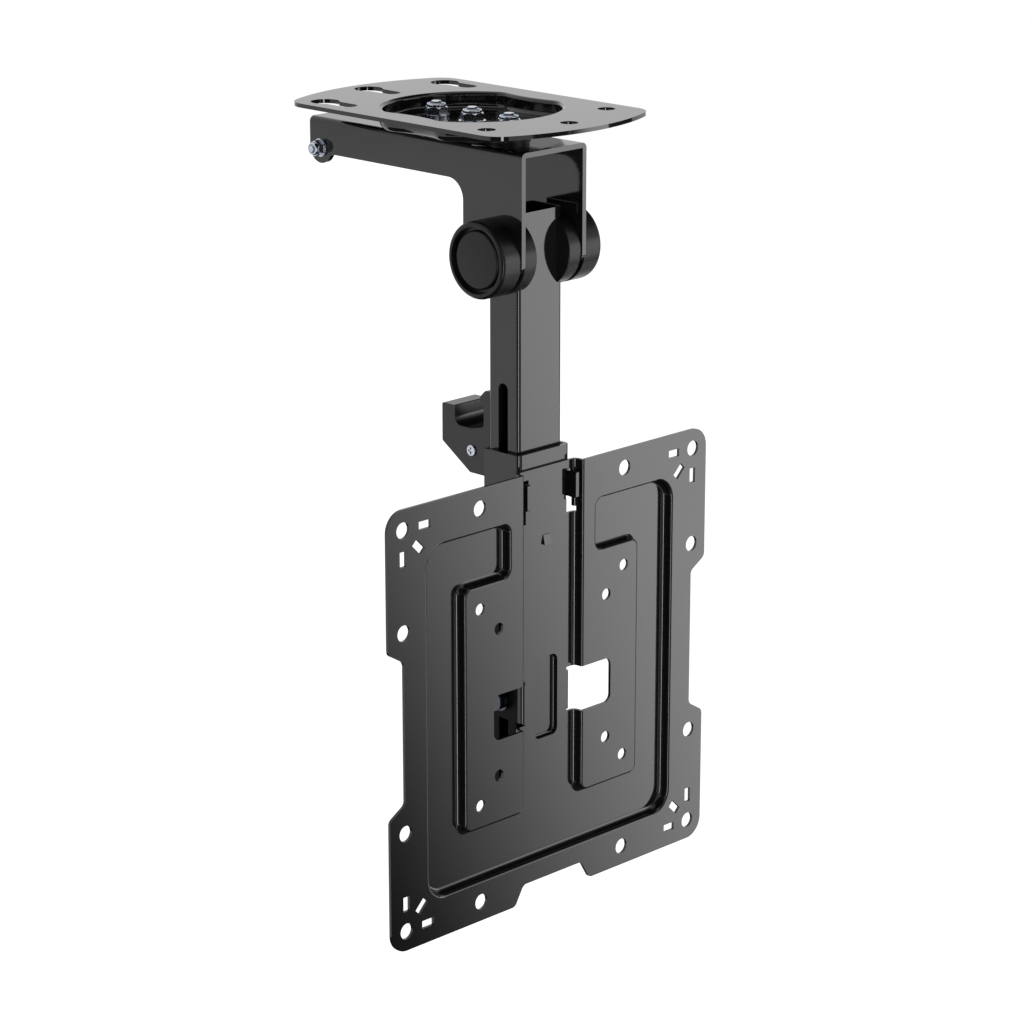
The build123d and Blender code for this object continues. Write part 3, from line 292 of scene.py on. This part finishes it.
def make_powder_coat(name, coat, painted_shade_axis=None, painted_shade_from=0.0, painted_shade_to=0.0):
    """Satin black coat with a slow orange peel and fine specks.

    Along the painted-shade axis, if there is one, it turns to dull dark metal: painted shade where a part
    sits in shadow behind the screen plate.
    """
    cloud_width = 40 * coat.peel
    speck_share, cloud_share = 0.6, 0.4
    speck_height = 0.25
    peel_spread, cloud_spread = 0.03, 0.02
    paler = scaled(coat.color, 1.5)
    shader = Shader(bpy.data.materials.new(name))
    places = shader.places()
    peel = shader.noise(places, coat.peel, detail=2.0)
    speck = shader.noise(places, coat.speck, detail=1.0)
    cloud = shader.noise(places, cloud_width, detail=3.0)
    mottle = shader.clamped(speck * speck_share + cloud * cloud_share, 0.35, 0.7)
    roughness = coat.roughness + swing(peel, peel_spread) + swing(cloud, cloud_spread)
    shaded = 0.0
    # painted shade: past the given place along the axis the coat turns to rough, dark metal, so the part
    # reads as shadowed
    if painted_shade_axis:
        along = shader.out(shader.node("ShaderNodeSeparateXYZ", None, {"Vector": places}), painted_shade_axis)
        shaded = shader.clamped(along, painted_shade_from, painted_shade_to)
        roughness = roughness + shaded * coat.painted_shade_roughness
        shaded = shaded * coat.painted_shade_share
    return shader.finish(
        base_color=shader.blend(mottle, coat.color, paler),
        metallic=shaded,
        roughness=roughness,
        normal=shader.bump(peel + speck * speck_height, coat.depth),
    )


def make_plastic(name, color, plastic, extra=0.0, sheen=0.5):
    """Moulded plastic with a fine even grain.

    The extra is added to the plastic's roughness, and a low sheen dulls its reflections.
    """
    flow_width = 60 * plastic.grain
    grain_spread = 0.1
    paler = scaled(color, 1.4)
    shader = Shader(bpy.data.materials.new(name))
    places = shader.places()
    grain = shader.noise(places, plastic.grain, detail=3.0, rough=0.6)
    flow = shader.noise(places, flow_width, detail=2.0)
    return shader.finish(
        base_color=shader.blend(shader.clamped(flow, 0.3, 0.7), color, paler),
        roughness=plastic.roughness + extra + swing(grain, grain_spread),
        specular_ior_level=sheen,
        normal=shader.bump(grain, plastic.depth),
    )


def make_plating(name, metal, shade=1.0):
    """Zinc plating: patches of bluish bloom over fine drawing lines; a low shade darkens it, as painted
    shade.
    """
    patch_width = 3 * MM
    line_width = 0.3 * MM
    line_depth = 0.001 * MM
    patch_spread, line_spread = 0.08, 0.05
    shader = Shader(bpy.data.materials.new(name))
    places = shader.places()
    patches = shader.noise(places, patch_width, detail=3.0)
    lines = shader.noise(places, line_width, detail=2.0)
    bloomed = shader.clamped(patches, 0.4, 0.65)
    return shader.finish(
        base_color=shader.blend(bloomed, scaled(metal.zinc, shade), scaled(metal.bloom, shade)),
        metallic=1.0,
        roughness=metal.roughness + swing(patches, patch_spread) + swing(lines, line_spread),
        normal=shader.bump(lines, line_depth),
    )


def make_spring_steel(metal):
    """Oil-hardened wire and disc springs, a little mottled."""
    mottle_width = 1.2 * MM
    mottle_depth = 0.002 * MM
    mottle_spread = 0.15
    duller = 0.08
    darker = scaled(metal.spring, 0.7)
    shader = Shader(bpy.data.materials.new("spring_steel"))
    mottle = shader.noise(shader.places(), mottle_width, detail=3.0)
    return shader.finish(
        base_color=shader.blend(shader.clamped(mottle, 0.35, 0.65), metal.spring, darker),
        metallic=1.0,
        roughness=metal.roughness + duller + swing(mottle, mottle_spread),
        normal=shader.bump(mottle, mottle_depth),
    )


def make_insert(metal):
    """Waxy nylon of the lock nuts."""
    cloud_width = 0.8 * MM
    cloud_depth = 0.004 * MM
    roughness, cloud_spread = 0.42, 0.1
    paler = scaled(metal.insert, 1.15)
    shader = Shader(bpy.data.materials.new("nylon_insert"))
    cloudy = shader.noise(shader.places(), cloud_width, detail=2.0)
    return shader.finish(
        base_color=shader.blend(cloudy, metal.insert, paler),
        roughness=roughness + swing(cloudy, cloud_spread),
        normal=shader.bump(cloudy, cloud_depth),
    )


def only(obj):
    """Makes this the one selected object."""
    bpy.ops.object.select_all(action="DESELECT")
    obj.select_set(True)
    bpy.context.view_layer.objects.active = obj


def edges_where(obj, test):
    """Selects the edges whose two ends pass a test; leaves edit mode open on edges."""
    only(obj)
    bpy.ops.object.mode_set(mode="EDIT")
    bpy.ops.mesh.select_mode(type="EDGE")
    bpy.ops.mesh.select_all(action="DESELECT")
    bpy.ops.object.mode_set(mode="OBJECT")
    points = obj.data.vertices
    for edge in obj.data.edges:
        first, second = (points[index].co for index in edge.vertices)
        edge.select = test(first, second)
    bpy.ops.object.mode_set(mode="EDIT")


def soften(obj, width, segments, test):
    """Bevels the edges that pass a test."""
    edges_where(obj, test)
    bpy.ops.mesh.bevel(offset=width, segments=segments, affect="EDGES")
    bpy.ops.object.mode_set(mode="OBJECT")


def middle(low, high):
    return (low + high) / 2


def round_bar(radius, low, high, sides=48):
    """Upright cylinder between two heights, its place in its mesh."""
    bpy.ops.mesh.primitive_cylinder_add(
        vertices=sides, radius=radius, depth=high - low, location=(0, 0, middle(low, high)))
    bar = bpy.context.active_object
    bpy.ops.object.transform_apply(location=True, rotation=True, scale=True)
    return bar


def cut(obj, tool, operation):
    """Applies a boolean and deletes its tool."""
    only(obj)
    step = obj.modifiers.new("cut", "BOOLEAN")
    step.operation = operation
    step.solver = "EXACT"
    step.object = tool
    bpy.ops.object.modifier_apply(modifier=step.name)
    bpy.data.objects.remove(tool)


def joined(objs):
    """One object from several."""
    only(objs[0])
    for obj in objs:
        obj.select_set(True)
    bpy.ops.object.join()
    return bpy.context.active_object


def smooth(obj, degrees=35):
    """Shades an object smooth, apart from edges sharper than an angle."""
    only(obj)
    bpy.ops.object.shade_smooth_by_angle(angle=math.radians(degrees))


def placed(obj, name, matrix, material, body):
    """A copy with its own mesh, moved to its place in that mesh, finished and riding."""
    copy = bpy.data.objects.new(name, obj.data.copy())
    bpy.context.collection.objects.link(copy)
    copy.data.transform(matrix)
    copy.data.materials.clear()
    copy.data.materials.append(material)
    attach(copy, body)
    return copy


def at_rim(radius, height):
    """Test for edges lying on a circle at a height."""
    def on_rim(point):
        return abs(point.z - height) < LEVEL and abs(point.to_2d().length - radius) < NEAR

    def test(first, second):
        return on_rim(first) and on_rim(second)
    return test


def hexagon(flats, low, high):
    """Upright hexagon with its corners along Y, turned down at both ends."""
    corner = flats / math.sqrt(3)
    corner_cut = (corner - flats / 2) * 0.8
    prism = round_bar(corner, low, high, sides=6)
    barrel = round_bar(corner, low, high)
    for height in (low, high):
        soften(barrel, corner_cut, 1, at_rim(corner, height))
    cut(prism, barrel, "INTERSECT")
    return prism


def make_lock_nut(flats, height, thread, sizes):
    """Hexagon and round collar, hollow at the top for the insert, and the insert itself."""
    face = height * sizes.hex_share
    collar_radius = flats / 2 - 0.3 * MM
    collar_round = (height - face) * 0.45
    ring_radius = collar_radius - sizes.lip
    seat = height - 0.45 * MM
    ring_round = 0.12 * MM
    ring_top = height - 0.12 * MM
    thread_gap = 0.03 * MM
    nut = hexagon(flats, 0, face)
    collar = round_bar(collar_radius, face - END_OVERLAP, height)
    soften(collar, collar_round, 4, at_rim(collar_radius, height))
    cut(nut, collar, "UNION")
    cut(nut, round_bar(ring_radius, seat, height + MM), "DIFFERENCE")
    cut(nut, round_bar(thread / 2 + thread_gap, -MM, height + MM), "DIFFERENCE")
    smooth(nut)
    ring = round_bar(ring_radius, seat, ring_top)
    soften(ring, ring_round, 2, at_rim(ring_radius, ring_top))
    cut(ring, round_bar(thread / 2, 0, height + MM), "DIFFERENCE")
    smooth(ring)
    return nut, ring


def make_thread(radius, pitch, low, high):
    """Core with one helical ridge round it, between two heights; its upper end is pointed."""
    depth = 0.55 * pitch
    point = 0.4 * depth
    ridge_size = depth * 0.72
    ridge_middle = radius - depth * 0.62
    steps_per_turn = 28
    core = round_bar(radius - depth, low, high)
    soften(core, point, 1, at_rim(radius - depth, high))
    bpy.ops.object.select_all(action="DESELECT")
    bpy.ops.mesh.primitive_circle_add(
        vertices=3, radius=ridge_size, fill_type="NGON",
        location=(ridge_middle, 0, low + pitch / 2), rotation=(math.pi / 2, math.pi / 2, 0))
    ridge = bpy.context.active_object
    bpy.ops.object.transform_apply(location=True, rotation=True, scale=True)
    screw = ridge.modifiers.new("helix", "SCREW")
    screw.axis = "Z"
    screw.screw_offset = pitch
    screw.iterations = max(1, int((high - low - pitch) / pitch))
    screw.steps = steps_per_turn
    screw.render_steps = steps_per_turn
    screw.use_merge_vertices = False
    bpy.ops.object.modifier_apply(modifier=screw.name)
    bpy.ops.object.mode_set(mode="EDIT")
    bpy.ops.mesh.select_all(action="DESELECT")
    bpy.ops.mesh.select_mode(type="EDGE")
    bpy.ops.mesh.select_non_manifold()
    bpy.ops.mesh.edge_face_add()
    bpy.ops.mesh.select_all(action="SELECT")
    bpy.ops.mesh.normals_make_consistent(inside=False)
    bpy.ops.object.mode_set(mode="OBJECT")
    return joined([core, ridge])


def make_cross_bolt(length, head_height, flats, thread, pitch, share):
    """Bolt standing on its head: hexagon, plain shank and threaded end."""
    shank_chamfer = 0.3 * MM
    start = head_height + (length - head_height) * (1 - share)
    head = hexagon(flats, 0, head_height)
    shank = round_bar(thread / 2, head_height - HEAD_OVERLAP, start)
    soften(shank, shank_chamfer, 1, at_rim(thread / 2, start))
    thread_part = make_thread(thread / 2, pitch, start - END_OVERLAP, length)
    bolt = joined([head, shank, thread_part])
    smooth(bolt)
    return bolt


def along_x(start, sign, y, z):
    """Turns an upright piece to lie along X from a start, towards +X or -X, corners up."""
    turn = Matrix.Rotation(sign * math.pi / 2, 4, "Y") @ Matrix.Rotation(math.pi / 2, 4, "Z")
    return Matrix.Translation((start, y, z)) @ turn


def remove(*objs):
    """Deletes the objects that copies were made from."""
    for obj in objs:
        bpy.data.objects.remove(obj)


def paint(names, material):
    """Gives CAD nodes their finish."""
    for name in names:
        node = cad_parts[name]
        for slot in node.material_slots:
            slot.material = material


class MOUNT_OT_sheet_metal(bpy.types.Operator):
    """Coat the pressed plates, the channel, the post and the carrier"""
    bl_idname = "mount.sheet_metal"
    bl_label = "Coat sheet metal"

    def execute(self, context):
        coat = context.scene.mount_coat
        paint(COATED_SHEET, make_powder_coat("satin_black_coat", coat))
        fade_height = 2 * MM
        fade_depth = MM
        sheet_clearance = 2 * MM
        # painted shade: the post below the carrier and the screen plate's flanges beside the post go dark,
        # as the shadow behind the plate
        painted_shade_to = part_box("carrier")[0].z
        painted_shade_from = painted_shade_to + fade_height
        paint(("post_tube",), make_powder_coat("post_coat_with_painted_shade", coat, "Z", painted_shade_from, painted_shade_to))
        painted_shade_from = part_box("post_tube")[0].y - sheet_clearance
        painted_shade_to = painted_shade_from + fade_depth
        paint(("screen_plate",), make_powder_coat("plate_coat_with_painted_shade", coat, "Y", painted_shade_from, painted_shade_to))
        return {"FINISHED"}


class MOUNT_OT_plastics(bpy.types.Operator):
    """Finish the hub caps, the hook, the post's plug and the glides"""
    bl_idname = "mount.plastics"
    bl_label = "Finish plastics"

    def execute(self, context):
        plastic = context.scene.mount_plastic
        hub_duller, glide_duller = 0.04, 0.12
        hubs = make_plastic("satin_black", plastic.color, plastic, hub_duller, plastic.hub_sheen)
        hook = make_plastic("moulded_black", plastic.color, plastic, sheen=plastic.hook_sheen)
        glides = make_plastic("glide_plastic", plastic.glide_color, plastic, glide_duller)
        paint(HUBS, hubs)
        paint(MOULDED, hook)
        paint(GLIDES, glides)
        return {"FINISHED"}


class MOUNT_OT_plain_hardware(bpy.types.Operator):
    """Plate the washers, pins and hidden bolts, and finish the springs"""
    bl_idname = "mount.plain_hardware"
    bl_label = "Plate plain hardware"

    def execute(self, context):
        metal = context.scene.mount_metal
        paint(PLATED, make_plating("bright_zinc", metal))
        # painted shade: the clamp's washers take a darker copy of the zinc, for the shadow behind the
        # screen plate
        paint(("clamp_washers",), make_plating("zinc_in_painted_shade", metal, metal.black))
        paint(SPRINGS, make_spring_steel(metal))
        return {"FINISHED"}


class MOUNT_OT_swivel_nuts(bpy.types.Operator):
    """Model the three lock nuts and their nylon inserts in the ceiling plate's dish"""
    bl_idname = "mount.swivel_nuts"
    bl_label = "Model swivel nuts"

    def execute(self, context):
        plating = bpy.data.materials["bright_zinc"]
        nylon = make_insert(context.scene.mount_metal)
        low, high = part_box("pivot_nut")
        flats = high.y - low.y
        nut, ring = make_lock_nut(flats, high.z - low.z, THREAD, context.scene.mount_fasteners)
        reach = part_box("guide_nuts")[1].y - flats / 2
        corners_across = Matrix.Rotation(math.pi / 2, 4, "Z")
        places = (
            ("pivot", 0, "pivot_nut"),
            ("front_guide", -reach, "guide_nuts"),
            ("rear_guide", reach, "guide_nuts"),
        )
        for name, y, node in places:
            place = Matrix.Translation((0, y, low.z)) @ corners_across
            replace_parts(placed(nut, name + "_lock_nut", place, plating, "swivel_arm"), node)
            placed(ring, name + "_nut_insert", place, nylon, "swivel_arm")
        remove(nut, ring)
        return {"FINISHED"}


class MOUNT_OT_swivel_studs(bpy.types.Operator):
    """Model the threaded studs that stand up through the ceiling plate's slots"""
    bl_idname = "mount.swivel_studs"
    bl_label = "Model swivel studs"

    def execute(self, context):
        plating = bpy.data.materials["bright_zinc"]
        pitch = context.scene.mount_fasteners.coarse_pitch
        for node, names in (("pivot_stud", ("pivot",)), ("guide_studs", ("front_guide", "rear_guide"))):
            low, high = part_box(node)
            head_radius = (high.x - low.x) / 2
            head_top = low.z + STUD_HEAD_HEIGHT
            head_round = 0.15 * MM
            head = round_bar(head_radius, low.z, head_top)
            soften(head, head_round, 2, at_rim(head_radius, low.z))
            screw = make_thread(THREAD / 2, pitch, head_top - HEAD_OVERLAP, high.z)
            stud = joined([head, screw])
            smooth(stud)
            reach = high.y - head_radius
            for name, y in zip(names, (0,) if len(names) == 1 else (-reach, reach)):
                place = Matrix.Translation((0, y, 0))
                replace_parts(placed(stud, name + "_threaded_stud", place, plating, "swivel_arm"), node)
            remove(stud)
        return {"FINISHED"}


class MOUNT_OT_cross_fasteners(bpy.types.Operator):
    """Model the clamp bolt, the stow bolt and their lock nuts"""
    bl_idname = "mount.cross_fasteners"
    bl_label = "Model cross bolts"

    def execute(self, context):
        nylon = bpy.data.materials["nylon_insert"]
        sizes = context.scene.mount_fasteners
        sets = (
            # painted shade: the clamp's bolt and nut take the darker copy of the zinc, for the shadow
            # behind the screen plate; the stow bolt keeps bright zinc
            ("clamp", "slider", 1, THREAD, CLAMP_HEAD_HEIGHT, sizes.coarse_pitch, "zinc_in_painted_shade"),
            ("stow", "swivel_arm", -1, THIN_THREAD, STOW_HEAD_HEIGHT, sizes.fine_pitch, "bright_zinc"),
        )
        for name, body, sign, thread, head_height, pitch, finish in sets:
            plating = bpy.data.materials[finish]
            low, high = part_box(name + "_bolt")
            y, z = middle(low.y, high.y), middle(low.z, high.z)
            flats = high.y - low.y
            bolt = make_cross_bolt(high.x - low.x, head_height, flats, thread, pitch, sizes.threaded_share)
            start = low.x if sign > 0 else high.x
            place = along_x(start, sign, y, z)
            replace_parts(placed(bolt, name + "_threaded_bolt", place, plating, body), name + "_bolt")
            low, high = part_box(name + "_nut")
            nut, ring = make_lock_nut(high.y - low.y, high.x - low.x, thread, sizes)
            start = low.x if sign > 0 else high.x
            place = along_x(start, sign, y, z)
            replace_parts(placed(nut, name + "_lock_nut", place, plating, body), name + "_nut")
            placed(ring, name + "_nut_insert", place, nylon, body)
            remove(bolt, nut, ring)
        return {"FINISHED"}


class MOUNT_OT_floor(bpy.types.Operator):
    """Lay the pale floor"""
    bl_idname = "mount.floor"
    bl_label = "Lay floor"

    RADIUS = 7
    GRAIN_WIDTH = 20 * MM
    PALE = (0.86, 0.86, 0.86)
    PALER = (0.88, 0.88, 0.88)
    GLOW = 0.72

    def execute(self, context):
        bpy.ops.object.select_all(action="DESELECT")
        bpy.ops.mesh.primitive_circle_add(
            vertices=96, radius=self.RADIUS, fill_type="NGON",
            location=(0, 0, context.scene.mount_stage.floor_height))
        floor = context.active_object
        floor.name = "studio_floor"
        shader = Shader(bpy.data.materials.new("pale_floor"))
        grain = shader.noise(shader.places(), self.GRAIN_WIDTH)
        floor.data.materials.append(shader.finish(
            base_color=shader.blend(grain, self.PALE, self.PALER),
            roughness=0.9,
            emission_color=(1, 1, 1, 1),
            emission_strength=shader.seen() * self.GLOW,
        ))
        return {"FINISHED"}


class MOUNT_OT_lights(bpy.types.Operator):
    """Set up the white room and the soft panels"""
    bl_idname = "mount.lights"
    bl_label = "Set lights"

    # name, direction round the object from -Y towards +X, elevation, distance, width, height, radiance
    STRIP = ("front_strip", -33, -16, 2.1, 0.36, 1.6, 9.0)
    SCREEN = ("right_screen", 50, -12, 2.0, 1.5, 1.6, 3.7)
    # name, direction, elevation, distance, width, height
    FLAGS = (
        ("strip_flag", -18, -14, 1.9, 0.62, 2.4),
        ("front_flag", 18, -14, 1.9, 0.7, 2.4),
        ("left_flag", -62, -14, 2.1, 1.7, 2.4),
        ("low_flag", 0, -89, 1.0, 2.4, 2.4),
        ("high_flag", -45, 50, 1.9, 3.0, 1.5),
        ("right_high_flag", 84, 50, 1.9, 2.4, 1.1),
        ("right_flag", 67, -14, 1.9, 0.74, 2.4),
    )
    # middle of the object, which all panels face
    CENTRE = (0, 0, -0.2)
    # the screen's fade along its width and height, and where it starts and ends
    FADE_ALONG = (12.0, 6.0)
    FADE_FROM = -8.1
    FADE_TO = -0.9
    CLOTH = (0.002, 0.002, 0.002)
    WEAVE = (0.004, 0.004, 0.004)
    WEAVE_WIDTH = 4 * MM

    def execute(self, context):
        self.add_strip(context)
        *place, radiance = self.SCREEN
        self.add_card(*place, self.make_screen(radiance))
        cloth = self.make_cloth()
        for flag in self.FLAGS:
            self.add_card(*flag, cloth).visible_diffuse = False
        context.scene.world = self.make_room(context.scene.mount_stage.fill)
        context.scene.view_settings.view_transform = "Standard"
        return {"FINISHED"}

    def add_strip(self, context):
        """Narrow upright lamp that draws the bright lines beside the bends."""
        name, turn, rise, away, width, height, radiance = self.STRIP
        data = bpy.data.lights.new(name, "AREA")
        data.shape = "RECTANGLE"
        data.size = width
        data.size_y = height
        data.energy = radiance * math.pi * width * height
        lamp = bpy.data.objects.new(name, data)
        context.collection.objects.link(lamp)
        self.aim(lamp, turn, rise, away)
        lamp.visible_camera = False

    def make_room(self, fill):
        """White all round, but dimmer as light on the object."""
        shader = Shader(bpy.data.worlds.new("white_room"))
        strength = fill + shader.seen() * (1 - fill)
        sky = shader.node("ShaderNodeBackground", None, {"Color": (1, 1, 1, 1), "Strength": strength})
        shader.node("ShaderNodeOutputWorld", None, {"Surface": shader.out(sky)})
        return shader.owner

    def make_cloth(self):
        """Black cloth of the flags."""
        shader = Shader(bpy.data.materials.new("flag_cloth"))
        weave = shader.noise(shader.places(), self.WEAVE_WIDTH)
        return shader.finish(base_color=shader.blend(weave, self.CLOTH, self.WEAVE), roughness=1.0)

    def make_screen(self, radiance):
        """Soft lamp screen that fades towards its lower left corner."""
        shader = Shader(bpy.data.materials.new("lamp_screen"))
        parts = shader.node("ShaderNodeSeparateXYZ", None, {"Vector": shader.places()})
        across, up = self.FADE_ALONG
        along = shader.out(parts, "X") * across + shader.out(parts, "Y") * up
        fade = shader.clamped(along, self.FADE_FROM, self.FADE_TO)
        return shader.finish(
            base_color=(0, 0, 0, 1),
            roughness=1.0,
            emission_color=shader.blend(fade, (0, 0, 0), (1, 1, 1)),
            emission_strength=radiance,
        )

    def add_card(self, name, turn, rise, away, width, height, material):
        """Flat card facing the object, which the camera doesn't see and which casts no shadow."""
        bpy.ops.object.select_all(action="DESELECT")
        bpy.ops.mesh.primitive_plane_add(size=1)
        card = bpy.context.active_object
        card.name = name
        card.data.transform(Matrix.Diagonal((width, height, 1, 1)))
        self.aim(card, turn, rise, away)
        card.data.materials.append(material)
        card.visible_camera = False
        card.visible_shadow = False
        return card

    def aim(self, obj, turn, rise, away):
        """Puts a lamp or a card in a direction from the object's middle, facing it."""
        turn, rise = math.radians(turn), math.radians(rise)
        way = Vector((math.sin(turn) * math.cos(rise), -math.cos(turn) * math.cos(rise), math.sin(rise)))
        obj.location = Vector(self.CENTRE) + way * away
        obj.rotation_euler = way.to_track_quat("Z", "Y").to_euler()


class MOUNT_OT_camera(bpy.types.Operator):
    """Place the camera at the picture's angle"""
    bl_idname = "mount.camera"
    bl_label = "Place camera"

    SENSOR_WIDTH = 36
    NEAREST = 0.05
    FARTHEST = 30

    def execute(self, context):
        stage = context.scene.mount_stage
        data = bpy.data.cameras.new("camera")
        data.lens = stage.lens
        data.sensor_width = self.SENSOR_WIDTH
        data.clip_start = self.NEAREST
        data.clip_end = self.FARTHEST
        camera = bpy.data.objects.new("camera", data)
        context.collection.objects.link(camera)
        camera.location = stage.place
        camera.rotation_euler = (stage.tilt, 0, stage.turn)
        context.scene.camera = camera
        return {"FINISHED"}


class MOUNT_PT_looks(bpy.types.Panel):
    """Sizes, colours and steps of the ceiling mount's looks"""
    bl_label = "Ceiling mount"
    bl_idname = "MOUNT_PT_looks"
    bl_space_type = "VIEW_3D"
    bl_region_type = "UI"
    bl_category = "Mount"

    def draw(self, context):
        for group in ("mount_coat", "mount_plastic", "mount_metal", "mount_fasteners", "mount_stage"):
            box = self.layout.box()
            settings = getattr(context.scene, group)
            for name in settings.__annotations__:
                box.prop(settings, name)
        for step in STEPS:
            self.layout.operator(step.bl_idname)


SETTINGS = {
    "mount_coat": CoatSettings,
    "mount_plastic": PlasticSettings,
    "mount_metal": MetalSettings,
    "mount_fasteners": FastenerSettings,
    "mount_stage": StageSettings,
}
STEPS = (
    MOUNT_OT_sheet_metal,
    MOUNT_OT_plastics,
    MOUNT_OT_plain_hardware,
    MOUNT_OT_swivel_nuts,
    MOUNT_OT_swivel_studs,
    MOUNT_OT_cross_fasteners,
    MOUNT_OT_floor,
    MOUNT_OT_lights,
    MOUNT_OT_camera,
)


def register():
    for name, group in SETTINGS.items():
        bpy.utils.register_class(group)
        setattr(bpy.types.Scene, name, bpy.props.PointerProperty(type=group))
    for step in STEPS:
        bpy.utils.register_class(step)
    bpy.utils.register_class(MOUNT_PT_looks)


def unregister():
    bpy.utils.unregister_class(MOUNT_PT_looks)
    for step in reversed(STEPS):
        bpy.utils.unregister_class(step)
    for name, group in SETTINGS.items():
        delattr(bpy.types.Scene, name)
        bpy.utils.unregister_class(group)


def main():
    register()
    for step in STEPS:
        group, name = step.bl_idname.split(".")
        getattr(getattr(bpy.ops, group), name)()


if __name__ == "__main__":
    main()
